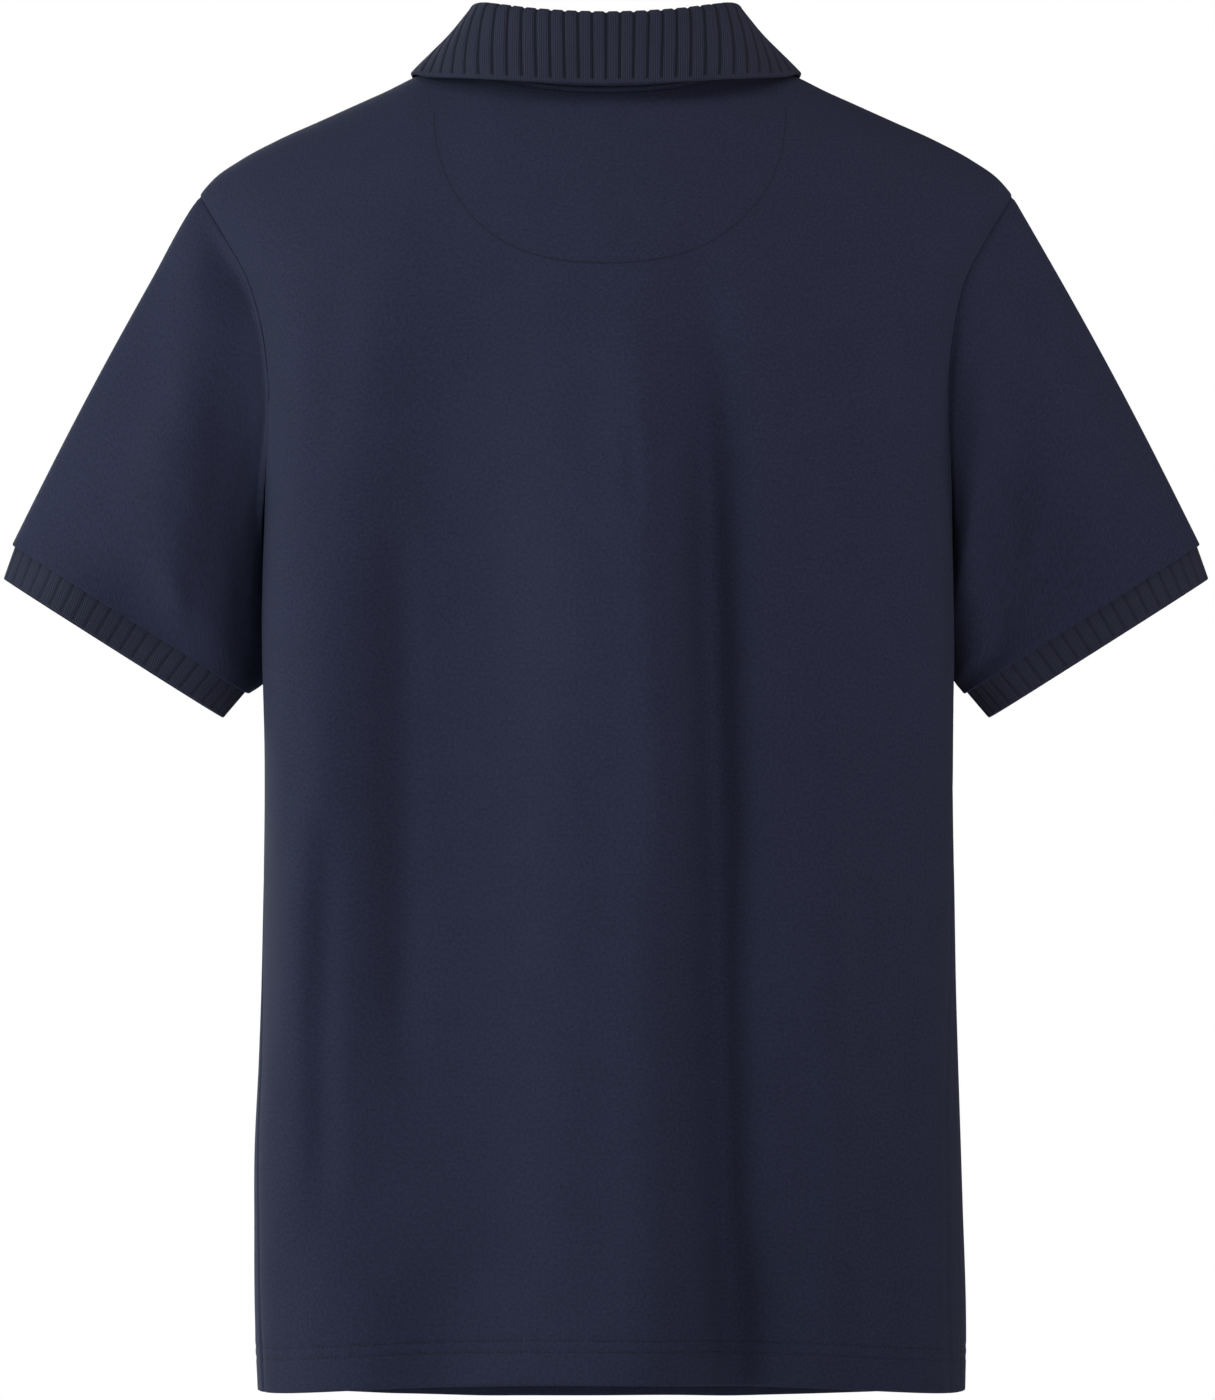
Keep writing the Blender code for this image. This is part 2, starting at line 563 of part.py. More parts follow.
def read_loop(turns, table, turn):
    """The loop as the straight-sided outline that the panels' edges have."""
    wrapped = np.mod(turn, 2 * math.pi)
    return np.stack([np.interp(wrapped, turns, table[:, i]) for i in range(3)], axis=-1)


def read_loop_smooth(turns, table, turn):
    """The loop as a smooth closed curve through the same corners."""
    wrapped = np.mod(turn, 2 * math.pi)
    places = np.concatenate([turns[:-1] - 2 * math.pi, turns, turns[1:] + 2 * math.pi])
    return np.stack([smooth_curve(wrapped, places,
                                  np.concatenate([table[:-1, i], table[:, i], table[1:, i]]))
                     for i in range(3)], axis=-1)


def oval(outer, inner, half_depth, turn, hand):
    """An oval ring whose long axis runs from outer to inner in the XZ plane."""
    middle = (np.array(outer) + np.array(inner)) / 2
    half = (np.array(outer) - np.array(inner)) / 2
    x = middle[0] + half[0] * np.cos(turn)
    z = middle[1] + half[1] * np.cos(turn)
    return stack(hand * x, half_depth * np.sin(turn), z)


class Sleeve:
    """The outer face of one sleeve, read by the turn round it and the share along it."""

    def __init__(self, hand, folds):
        self.hand = hand
        self.folds = folds
        self.turns, self.points, self.normals, self.off = armhole_loop(hand)

    def columns(self):
        """The armhole's own corners, with one more column in each wide gap."""
        gaps = np.diff(self.turns)
        middles = self.turns[:-1][gaps > SLEEVE_WIDE_GAP] + gaps[gaps > SLEEVE_WIDE_GAP] / 2
        return np.sort(np.concatenate([self.turns[:-1], middles]))

    def plain(self, turn, along):
        down = np.maximum(-np.cos(turn), 0.0)
        up = np.maximum(np.cos(turn), 0.0)
        lift = UNDERARM_CLEARANCE * down - SLEEVE_STEP * up
        rim = self.points + self.off * SEAM_GAP
        corners = read_loop(self.turns, rim, turn)
        curve = read_loop_smooth(self.turns, rim, turn)
        start = corners + (curve - corners) * ease(along, 0.0, SLEEVE_RIM_BLEND)[..., None]
        start = start + read_loop_smooth(self.turns, self.normals, turn) * lift[..., None]
        end = oval(SLEEVE_END_OUTER, SLEEVE_END_INNER, SLEEVE_END_HALF_DEPTH, turn, self.hand)
        share = along[..., None]
        points = start * (1.0 - share) + end * share
        swell = np.sin(math.pi * np.clip(along, 0.0, 1.0))
        puff = SLEEVE_TOP_PUFF * up ** 2 * swell
        sag = SLEEVE_UNDERSIDE_SAG[self.hand] * down ** 4 * swell
        shift_x = self.hand * (puff * SLEEVE_TOP_WAY[0] + sag * SLEEVE_UNDERSIDE_WAY[0])
        shift_z = puff * SLEEVE_TOP_WAY[1] + sag * SLEEVE_UNDERSIDE_WAY[1]
        return points + stack(shift_x, np.zeros_like(shift_x), shift_z)

    def surface(self, turn, along):
        points = self.plain(turn, along)
        normals = -slope_normal(self.plain, turn, along) * self.hand
        height = np.zeros(np.broadcast(turn, along).shape)
        for row in self.folds.values():
            fold = dict(zip(SLEEVE_FOLD_COLUMNS, row))
            share = (along - fold["along_start"]) / (fold["along_end"] - fold["along_start"])
            middle = fold["turn_start"] + (fold["turn_end"] - fold["turn_start"]) * share
            fade = ease(share, 0.0, FOLD_FADE) * ease(1.0 - share, 0.0, FOLD_FADE)
            away = (np.mod(turn, 2 * math.pi) / DEG - middle) / fold["wide"]
            height = height + fold["out"] * MM * fade * np.exp(-away ** 2)
        height = height * ease(along, 0.0, SLEEVE_SEAM_HOLDS)
        height = height * (1.0 - ease(along, SLEEVE_CUFF_HOLDS, 1.0))
        return points + normals * height[..., None]

    def normal(self, turn, along):
        return -slope_normal(self.surface, turn, along) * self.hand

    def rim_way(self, turn):
        """At the armhole, the way from the sleeve's outer face to its inner one."""
        body = read_loop(self.turns, self.normals, turn)
        off = unit(read_loop(self.turns, self.off, turn))
        own = self.normal(turn, np.full_like(turn, SLEEVE_RIM_BLEND / 5))
        way = -unit(body + own)
        back = np.minimum(np.sum(way * off, axis=-1, keepdims=True), 0.0)
        return unit(way - back * off)


def build_sleeve(name, sleeve, material):
    turn = sleeve.columns()
    along = np.linspace(0.0, 1.0, SLEEVE_ROWS + 1)
    turns, alongs = np.meshgrid(turn, along)
    outer = sleeve.surface(turns, alongs)
    inner = outer - sleeve.normal(turns, alongs) * CLOTH
    inner[0] = outer[0] + sleeve.rim_way(turn) * CLOTH
    return wall(name, outer, inner, material, closed=True)


def cuff_surface(hand, turn, along):
    """The outer face over the ribs; along is 0 at the sleeve's end and 1 at the edge."""
    clear = CLOTH + CUFF_CLEARANCE
    long_way = unit(np.array(SLEEVE_END_OUTER) - np.array(SLEEVE_END_INNER))
    start = oval(np.array(SLEEVE_END_OUTER) - long_way * clear,
                 np.array(SLEEVE_END_INNER) + long_way * clear,
                 SLEEVE_END_HALF_DEPTH - clear, turn, hand)
    end = oval(CUFF_OUTER, CUFF_INNER, CUFF_HALF_DEPTH, turn, hand)
    end = end + stack(0.0 * turn, 0.0 * turn, CUFF_TILT * end[..., 1])
    return start + (end - start) * along[..., None]


def build_cuff(name, hand, material):
    places, grooves = rib_columns(CUFF_RIBS)

    def surface(turn, share):
        return cuff_surface(hand, turn, share)

    turns, alongs = np.meshgrid(places / CUFF_RIBS * 2 * math.pi, CUFF_ROWS)
    face = surface(turns, alongs)
    face = face + slope_normal(surface, turns, alongs) * hand * (RIB_DEPTH * grooves)[None, :, None]
    turns, alongs = np.meshgrid(np.arange(CUFF_RIBS) / CUFF_RIBS * 2 * math.pi, CUFF_ROWS)
    plain = surface(turns, alongs) + slope_normal(surface, turns, alongs) * hand * RIB_KNIT
    return ribbed_wall(name, face, plain, material, closed=True)


# ---------------------------------------------------------------- collar
def rail(table):
    """A rail's points from the middle of the back, as a smooth curve, and its length so far."""
    steps = np.arange(len(table["x"]), dtype=float)
    fine = np.linspace(0.0, steps[-1], RAIL_POINTS)
    points = np.stack([smooth_read(fine * MM, steps, table[axis]) * MM for axis in "xyz"], axis=-1)
    length = np.concatenate([[0.0], np.cumsum(np.linalg.norm(np.diff(points, axis=0), axis=1))])
    return points, length / length[-1]


def neck_rail():
    """The collar's sewn edge, on its neck side: just above the panels' neckline."""
    turn = np.linspace(0.0, math.pi - NECK_FRONT_GAP, RAIL_POINTS)
    x = NECK_HALF_WIDTH * np.sin(turn)
    side = np.where(np.cos(turn) >= 0, 1, -1)
    back = body_surface(turn_at(1, x, neckline_height(1, x)), neckline_height(1, x))
    front = body_surface(turn_at(-1, x, neckline_height(-1, x)), neckline_height(-1, x))
    points = np.where((side > 0)[:, None], back, front)
    inward = unit(stack(-points[:, 0], -points[:, 1], np.zeros(len(x))))
    points = points + inward * (RIB_KNIT + SEAM_GAP) + np.array([0.0, 0.0, 2.0 * SEAM_GAP])
    length = np.concatenate([[0.0], np.cumsum(np.linalg.norm(np.diff(points, axis=0), axis=1))])
    return points, length / length[-1]


class Collar:
    """The face of the collar: up from the neck seam, over the fold and down the leaf."""

    def __init__(self):
        self.rails = {"neck": neck_rail(), "fold": rail(FOLD_LINE), "leaf": rail(LEAF_EDGE)}

    def read(self, name, across):
        """A rail's point; across runs from -1 (right front end) to 1 (left front end)."""
        points, shares = self.rails[name]
        share = np.abs(across)
        if name == "leaf":
            share = (1.0 - LEAF_SPREAD) * share + LEAF_SPREAD * share ** 2
        found = np.stack([np.interp(share, shares, points[:, i]) for i in range(3)], axis=-1)
        found[..., 0] = found[..., 0] * np.where(across < 0, -1.0, 1.0)
        return found

    def surface(self, across, down):
        """down: 0 at the neck seam, 1 and 2 where the fold begins and ends, 3 at the edge."""
        fold = self.read("fold", across)
        step = 1.0 - COLLAR_END
        way = unit(self.read("fold", np.minimum(across + step, 1.0))
                   - self.read("fold", np.maximum(across - step, -1.0)))
        out = unit(stack(way[..., 1], -way[..., 0], 0.0 * across))
        from_middle = fold - np.array([0.0, NECK_MIDDLE_Y, 0.0])
        out = out * np.sign(np.sum(out * from_middle, axis=-1, keepdims=True))
        up = unit(np.cross(way, out))
        up = up * np.sign(up[..., 2:3])

        def local(point):
            reach = point - fold
            return tuple(np.sum(reach * axis, axis=-1) for axis in (out, up, way))

        radius = COLLAR_TURN_RADIUS
        neck_out, neck_up, neck_way = local(self.read("neck", across))
        leaf_out, leaf_up, leaf_way = local(self.read("leaf", across))
        neck_up, leaf_up = neck_up + radius, leaf_up + radius
        neck_far = np.hypot(neck_out, neck_up)
        leaf_far = np.hypot(leaf_out, leaf_up)
        start = (np.arctan2(neck_up, neck_out) - np.arccos(radius / neck_far)) % (2 * math.pi)
        end = np.arctan2(leaf_up, leaf_out) + np.arccos(radius / leaf_far)

        bend = np.clip(down - 1.0, 0.0, 1.0)
        angle = start + (end - start) * bend
        on_turn = np.stack([radius * np.cos(angle), radius * np.sin(angle)], axis=-1)
        neck = np.stack([neck_out, neck_up], axis=-1)
        leaf = np.stack([leaf_out, leaf_up], axis=-1)
        stand_share = np.clip(down, 0.0, 1.0)
        leaf_share = np.clip(down - 2.0, 0.0, 1.0)
        flat = np.where((down < 1.0)[..., None], neck + (on_turn - neck) * stand_share[..., None],
                        on_turn + (leaf - on_turn) * leaf_share[..., None])
        at_side = np.exp(-((np.abs(across) - LEAF_BOW_AT) / LEAF_BOW_WIDE) ** 2)
        bow = LEAF_BOW * (LEAF_BOW_BEHIND + (1.0 - LEAF_BOW_BEHIND) * at_side)
        bow = bow * 4 * leaf_share * (1 - leaf_share)
        leaf_way_down = unit(leaf - on_turn)
        flat = flat + np.stack([-leaf_way_down[..., 1], leaf_way_down[..., 0]], axis=-1) * bow[..., None]
        slide = neck_way * (1.0 - stand_share) + leaf_way * leaf_share
        return (fold + out * flat[..., 0:1] + up * (flat[..., 1:2] - radius)
                + way * slide[..., None])

    def normal(self, across, down):
        """Out of the face: toward the neck on the stand, outward on the leaf."""
        return slope_normal(self.surface, across, down)


def build_collar(material):
    collar = Collar()
    down = np.array(COLLAR_ROWS)
    ribbed = np.where(down < down[-1], 1.0, 0.0)
    places, grooves = rib_columns(COLLAR_RIBS)
    places = np.concatenate([places, [COLLAR_RIBS]])
    grooves = np.concatenate([grooves, [0.0]])
    grooves[0] = 0.0
    across = (places / COLLAR_RIBS * 2.0 - 1.0) * COLLAR_END
    acrosses, downs = np.meshgrid(across, down)
    depth = RIB_DEPTH * ribbed[:, None] * grooves[None, :]
    face = collar.surface(acrosses, downs) - collar.normal(acrosses, downs) * depth[..., None]
    coarse = (np.arange(COLLAR_RIBS + 1) / COLLAR_RIBS * 2.0 - 1.0) * COLLAR_END
    acrosses, downs = np.meshgrid(coarse, down)
    plain = collar.surface(acrosses, downs) - collar.normal(acrosses, downs) * RIB_KNIT
    return ribbed_wall("collar", face, plain, material, closed=False)


# ---------------------------------------------------------------- placket, buttons, patch
def front_point(x, z):
    return apart(body_surface(turn_at(-1, x, z), z), -1)


def front_normal(x, z):
    return body_normal(turn_at(-1, x, z), z)


def build_placket(name, lift, cloth, material):
    """A band on the front panel's points, moved out (or in, when lift is negative)."""
    across = np.linspace(-PLACKET_HALF_WIDTH, PLACKET_HALF_WIDTH, PLACKET_COLUMNS + 1)
    share = np.linspace(0.0, 1.0, PLACKET_ROWS + 1)
    x, shares = np.meshgrid(across, share)
    top = neckline_height(-1, x) - PLACKET_TOP_GAP
    z = PLACKET_BOTTOM + (top - PLACKET_BOTTOM) * shares
    points, normals = front_point(x, z), front_normal(x, z)
    return wall(name, points + normals * (lift + cloth), points + normals * lift, material)


def build_button(name, z, material):
    """A dished disc with a raised rim, lying on the upper band."""
    r, h = BUTTON_RADIUS, BUTTON_HEIGHT
    profile = ((r - BUTTON_BEVEL, 0.0), (r, BUTTON_BEVEL), (r, h - BUTTON_BEVEL),
               (r - BUTTON_BEVEL, h), (r - BUTTON_RIM, h),
               (r - BUTTON_RIM - BUTTON_DISH, h - BUTTON_DISH))
    segments = BUTTON_SEGMENTS
    vertices = [(0.0, 0.0, 0.0)]
    for radius, height in profile:
        for k in range(segments):
            turn = 2 * math.pi * k / segments
            vertices.append((radius * math.cos(turn), radius * math.sin(turn), height))
    vertices.append((0.0, 0.0, profile[-1][1]))
    last = len(vertices) - 1
    faces = []
    for k in range(segments):
        beside = (k + 1) % segments
        faces.append((0, 1 + beside, 1 + k))
        for ring in range(len(profile) - 1):
            low, high = 1 + ring * segments, 1 + (ring + 1) * segments
            faces.append((low + k, low + beside, high + beside, high + k))
        top = 1 + (len(profile) - 1) * segments
        faces.append((top + k, top + beside, last))
    button = add_object(name, vertices, faces, material)
    place = np.array([0.0]), np.array([z])
    normal = Vector(front_normal(*place)[0])
    seat = Vector(front_point(*place)[0]) + normal * (SEAM_GAP + PLACKET_CLOTH + BUTTON_AIR)
    button.matrix_world = Matrix.Translation(seat) @ normal.to_track_quat("Z", "Y").to_matrix().to_4x4()
    return button


def build_patch(material):
    """The half-moon inside the back of the neck, on the back panel's inner face."""
    across = PATCH_HALF_WIDTH * np.sin(np.linspace(-90.0, 90.0, PATCH_COLUMNS + 1) * DEG)
    across[[0, -1]] *= PATCH_CORNER
    share = np.linspace(0.0, 1.0, PATCH_ROWS + 1)
    x, shares = np.meshgrid(across, share)
    share_out = np.abs(x) / PATCH_HALF_WIDTH
    low = PATCH_MIDDLE - PATCH_DROP * np.sqrt(np.maximum(1.0 - share_out ** 2, 0.0))
    high = top_height(1, x) - PATCH_TOP_GAP
    z = low + (high - low) * (1.0 - (1.0 - shares) ** 1.5)
    turn = turn_at(1, x, z)
    points, normals = apart(body_surface(turn, z), 1), body_normal(turn, z)
    lift = CLOTH + FACET_ROOM
    return wall("neck_patch", points - normals * lift, points - normals * (lift + PATCH_CLOTH),
                material)


# ---------------------------------------------------------------- the shirt
def build_shirt():
    for old in list(bpy.data.objects):
        bpy.data.objects.remove(old, do_unlink=True)

    cloth = fabric("navy_pique", NAVY_CLOTH, 0.85)
    rib = fabric("navy_rib_knit", NAVY_RIB, 0.85)
    plastic = fabric("navy_button", NAVY_PLASTIC, 0.35)

    build_panel("back", 1, cloth)
    build_panel("front", -1, cloth)
    for name, hand, folds in (("left", 1, LEFT_SLEEVE_FOLDS), ("right", -1, RIGHT_SLEEVE_FOLDS)):
        build_sleeve("sleeve_" + name, Sleeve(hand, folds), cloth)
        build_cuff("cuff_" + name, hand, rib)
    build_collar(rib)
    build_placket("placket_upper", SEAM_GAP, PLACKET_CLOTH, cloth)
    build_placket("placket_under", -CLOTH - FACET_ROOM - PLACKET_CLOTH, PLACKET_CLOTH, cloth)
    for number, z in enumerate(BUTTON_PLACES, start=1):
        build_button("button_%d" % number, z, plastic)
    build_patch(cloth)


build_shirt()
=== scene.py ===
# %% [markdown]
# # A navy polo shirt, filled out as if worn
#
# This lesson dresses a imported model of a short-sleeved polo shirt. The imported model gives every
# cut piece as a plain closed solid. Here each of them is made again as a thin shell of knit
# cloth, with finer folds, real ribs, sewing and buttons, on exactly the same form.
#
# Sizes are in metres, +Z is up, the wearer faces -Y and the wearer's left is +X.

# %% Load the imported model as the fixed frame
from functools import partial
import math

import bpy
import numpy as np
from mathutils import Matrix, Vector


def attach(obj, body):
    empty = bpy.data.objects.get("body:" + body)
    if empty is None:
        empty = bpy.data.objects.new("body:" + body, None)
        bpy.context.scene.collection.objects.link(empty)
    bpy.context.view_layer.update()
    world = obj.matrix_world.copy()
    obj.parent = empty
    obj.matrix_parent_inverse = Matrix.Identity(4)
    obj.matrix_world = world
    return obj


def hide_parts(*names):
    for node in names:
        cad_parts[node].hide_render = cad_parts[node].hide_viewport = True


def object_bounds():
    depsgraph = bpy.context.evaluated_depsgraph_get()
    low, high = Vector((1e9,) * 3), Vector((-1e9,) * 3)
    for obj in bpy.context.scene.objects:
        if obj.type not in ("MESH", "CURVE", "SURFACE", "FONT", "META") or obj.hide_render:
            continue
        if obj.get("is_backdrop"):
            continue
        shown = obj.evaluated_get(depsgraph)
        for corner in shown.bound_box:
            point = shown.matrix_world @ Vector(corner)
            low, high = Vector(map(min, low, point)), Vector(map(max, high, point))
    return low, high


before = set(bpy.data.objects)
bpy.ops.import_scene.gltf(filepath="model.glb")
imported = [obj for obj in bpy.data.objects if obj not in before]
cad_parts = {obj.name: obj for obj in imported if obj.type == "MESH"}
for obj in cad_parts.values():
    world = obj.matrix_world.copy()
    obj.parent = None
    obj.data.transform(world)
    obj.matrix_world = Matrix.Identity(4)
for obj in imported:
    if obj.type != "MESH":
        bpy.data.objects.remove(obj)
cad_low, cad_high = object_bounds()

MM = 0.001
DEG, TURN = math.pi / 180.0, 2 * math.pi


def add_object(name, data):
    thing = bpy.data.objects.new(name, data)
    bpy.context.scene.collection.objects.link(thing)
    return thing


print("nodes to dress:", ", ".join(sorted(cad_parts)))

# %% [markdown]
# ## Writing nodes as sums
#
# A knit is a sum of waves: wales run up the cloth and courses run across it. In the shader
# editor each plus and times is a node of its own. A small class that wraps a node's socket and
# knows +, - and * lets the script say the sum the way it is thought of, and makes the nodes
# behind it. The world's light and the Geometry Nodes trees are made in the same way.

# %% A wire that knows arithmetic
class Wire:
    """An output of a node; sums of wires add Math nodes."""

    def __init__(self, nodes, socket):
        self.nodes = nodes
        self.socket = socket

    def maths(self, operation, *values):
        return self.nodes.node("ShaderNodeMath", {"operation": operation},
                               dict(enumerate(values)))

    def __add__(self, other):
        return self.maths("ADD", self, other)

    __radd__ = __add__

    def __mul__(self, other):
        return self.maths("MULTIPLY", self, other)

    __rmul__ = __mul__

    def __sub__(self, other):
        return self.maths("SUBTRACT", self, other)

    def __rsub__(self, other):
        return self.maths("SUBTRACT", other, self)

    def sine(self):
        return self.maths("SINE", self)

    def from_whole(self):
        """How far it is from the nearest whole number."""
        shifted = self + 0.5
        return self.maths("ABSOLUTE", self.maths("FRACT", shifted) - 0.5)

    def between(self, low, high):
        """0 at low and below, 1 at high and above, smooth between."""
        return self.nodes.node("ShaderNodeMapRange", {"interpolation_type": "SMOOTHSTEP"},
                               {"Value": self, "From Min": low, "From Max": high}, "Result")


class Nodes:
    """A node tree of any kind."""

    def __init__(self, tree):
        self.tree = tree

    def node(self, kind, settings, values, output=0):
        """A node of this kind; settings go first, then numbers or wires into its sockets."""
        node = self.tree.nodes.new(kind)
        for name, value in settings.items():
            setattr(node, name, value)
        for name, value in values.items():
            if isinstance(value, Wire):
                self.tree.links.new(value.socket, node.inputs[name])
            else:
                node.inputs[name].default_value = value
        return Wire(self, None if output is None else node.outputs[output])


class Recipe(Nodes):
    """A material and its nodes."""

    def __init__(self, name, roughness, sheen=0.0, gloss=0.25, coat=0.0):
        self.material = bpy.data.materials.new(name)
        self.material.use_nodes = True
        super().__init__(self.material.node_tree)
        self.shader = self.tree.nodes["Principled BSDF"]
        for socket, value in (("Roughness", roughness), ("Sheen Weight", sheen),
                              ("Specular IOR Level", gloss), ("Coat Weight", coat)):
            self.shader.inputs[socket].default_value = value

    def noise(self, where, scale, detail=2.0, roughness=0.5):
        """Noise from 0 to 1 about 0.5, on any coordinates."""
        return self.node("ShaderNodeTexNoise", {},
                         {"Vector": where, "Scale": scale, "Detail": detail,
                          "Roughness": roughness}, "Fac")

    def cloth_place(self):
        """Where on the flat cloth a point lies, in metres: across, up, and both as a vector."""
        both = self.node("ShaderNodeUVMap", {"uv_map": "cloth"}, {})
        across = self.node("ShaderNodeSeparateXYZ", {}, {"Vector": both}, "X")
        up = Wire(self, across.socket.node.outputs["Y"])
        return across, up, both

    def shades(self, share, dark, light):
        """A colour from dark to light."""
        return self.node("ShaderNodeMix", {"data_type": "RGBA"},
                         {"Factor": share, 6: dark + (1.0,), 7: light + (1.0,)}, 2)

    def finish(self, colour, height, relief):
        """Links the colour, and a bump of this relief in metres."""
        bump = self.node("ShaderNodeBump", {}, {"Height": height, "Distance": relief,
                                                "Strength": 1.0})
        self.tree.links.new(colour.socket, self.shader.inputs["Base Color"])
        self.tree.links.new(bump.socket, self.shader.inputs["Normal"])
        return self.material


print("node sums ready")

# %% [markdown]
# ## The camera
#
# The shirt is looked at from straight behind and from far away, as a shop's studio does, so that
# its sides don't swell. A long lens does that: the camera stands 8 m off and the focal length is
# worked out from how tall the picture is at the shirt.

# %% Camera
FRAME_TALL = 1400 * 0.54 * MM           # what the picture's height covers at the shirt
FRAME_MIDDLE = (-0.8 * MM, -340.2 * MM)  # across and up
CAMERA_AWAY = 8.0
SENSOR = 36.0                           # millimetres, along the picture's height

camera = add_object("camera", bpy.data.cameras.new("camera"))
camera.data.sensor_fit = "VERTICAL"
camera.data.sensor_height = SENSOR
camera.data.lens = SENSOR * CAMERA_AWAY / FRAME_TALL
camera.location = (FRAME_MIDDLE[0], CAMERA_AWAY, FRAME_MIDDLE[1])
camera.rotation_euler = (90 * DEG, 0.0, 180 * DEG)
bpy.context.scene.camera = camera
print("focal length %.0f mm" % camera.data.lens)

# %% [markdown]
# ## Light and floor
#
# Dark cloth shows its form only by soft light that comes from one side. A large, slightly cool
# lamp stands to the wearer's left, and a warmer one fills in from behind and below. A third
# lights the front, and two weak ones stand above and on the far side. The world is white where
# the camera looks at it, and dimmer where it lights the cloth: a Light Path node tells the two
# apart. The floor is a plain pale disc below the shirt, marked as stage.

# %% Lamps, world and floor
KEY = 2.04                              # W/m2 on cloth that faces the key lamp
SHIRT_MIDDLE = (0.0, 0.0, -0.36)
WHITE, COOL, WARM = (1.0, 1.0, 1.0), (0.92, 1.04, 1.02), (1.04, 0.97, 0.98)
LAMPS = {       # degrees round from straight behind to the wearer's left, degrees up, metres
    #        turn rise away size share tint, the share being of the key lamp's light
    "key_lamp": (80, 18, 2.3, 2.0, 1.0, COOL),
    "top_lamp": (25, 66, 3.0, 1.8, 0.24, WHITE),
    "fill_lamp": (-26, -16, 3.6, 2.2, 0.84, WARM),
    "rim_lamp": (-85, 45, 3.2, 1.8, 0.24, WHITE),
    "front_lamp": (160, 15, 3.6, 2.4, 0.70, WHITE),
}
for name, (turn, rise, away, size, share, tint) in LAMPS.items():
    turn, rise = turn * DEG, rise * DEG
    lamp = add_object(name, bpy.data.lights.new(name, "AREA"))
    lamp.data.shape, lamp.data.size, lamp.data.color = "DISK", size, tint
    lamp.data.energy = share * KEY * math.pi * away ** 2
    way = (math.cos(rise) * math.sin(turn), math.cos(rise) * math.cos(turn), math.sin(rise))
    lamp.location = [middle + away * part for middle, part in zip(SHIRT_MIDDLE, way)]
    lamp.rotation_euler = (math.pi / 2 - rise, 0.0, math.pi - turn)

WORLD_LIGHT = 0.05
world = bpy.data.worlds.new("studio")
world.use_nodes = True
bpy.context.scene.world = world
world.node_tree.nodes.clear()
sky = Nodes(world.node_tree)
felt, seen = (sky.node("ShaderNodeBackground", {}, {"Color": WHITE + (1.0,), "Strength": strength})
              for strength in (WORLD_LIGHT, 1.0))
to_camera = sky.node("ShaderNodeLightPath", {}, {}, "Is Camera Ray")
blend = sky.node("ShaderNodeMixShader", {}, {"Fac": to_camera, 1: felt, 2: seen})
sky.node("ShaderNodeOutputWorld", {}, {"Surface": blend}, None)

FLOOR_HEIGHT, FLOOR_RADIUS, FLOOR_CORNERS = -0.84, 1.7, 120
disc = [(FLOOR_RADIUS * math.cos(turn), FLOOR_RADIUS * math.sin(turn), FLOOR_HEIGHT)
        for turn in (k * TURN / FLOOR_CORNERS for k in range(FLOOR_CORNERS))]
floor_mesh = bpy.data.meshes.new("floor")
floor_mesh.from_pydata(disc, [], [list(range(FLOOR_CORNERS))])
floor = add_object("floor", floor_mesh)
floor_paint = bpy.data.materials.new("floor_paint")
floor_paint.use_nodes = True
floor_shader = floor_paint.node_tree.nodes["Principled BSDF"]
floor_shader.inputs["Base Color"].default_value = (0.82, 0.82, 0.82, 1.0)
floor_shader.inputs["Roughness"].default_value = 0.9
floor_mesh.materials.append(floor_paint)
floor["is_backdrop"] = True
bpy.context.scene.view_settings.view_transform = "Standard"
print("floor at %.2f m, radius %.1f m" % (FLOOR_HEIGHT, FLOOR_RADIUS))

# %% [markdown]
# ## The body's cloth
#
# The body and sleeves are a fine double knit, nearly plain, dyed dark navy after knitting. Close
# up it has wales and courses a millimetre apart, and short fibres that catch the light. From a
# step away only a fine grain is left. A picture of cloth could be wrapped round the shirt, but
# waves and noise on the cloth's own flat coordinates stay sharp at every distance, follow
# each piece's grain and need no file.

# %% Knit, rib, thread and button finishes
GROOVE_PAINTED_SHADE_SPAN, GROOVE_PAINTED_SHADE_STRENGTH = (0.06, 0.15), 0.85    # painted shade in the rib grooves: full to the first share of a rib, then clearer
EVEN_TONE = (0.12, 0.88)                # shares of light yarn that read as darkest and lightest


def knit_cloth(name, dark, light, wale, course, relief):
    """wale and course are the loops' spacing across and up."""
    cloth = Recipe(name, roughness=0.88, sheen=0.02)
    across, up, both = cloth.cloth_place()
    wander = cloth.noise(both, 260.0, 2.0) - 0.5
    loops_across = ((across + wander * (0.25 * wale)) * (TURN / wale)).sine()
    loops_up = ((up + wander * (0.25 * course)) * (TURN / course)).sine()
    loops = loops_across * loops_up * 0.5 + 0.5
    fibre = cloth.noise(both, 1700.0, 3.0, 0.7)
    grain = cloth.noise(both, 620.0, 2.0, 0.6)
    mottle = cloth.noise(both, 34.0, 3.0, 0.55)
    share = fibre * 0.55 + grain * 0.60 + loops * 0.16 + mottle * 0.10 - 0.20
    colour = cloth.shades(share.between(*EVEN_TONE), dark, light)
    return cloth.finish(colour, loops * 0.45 + fibre * 0.30 + grain * 0.25, relief)


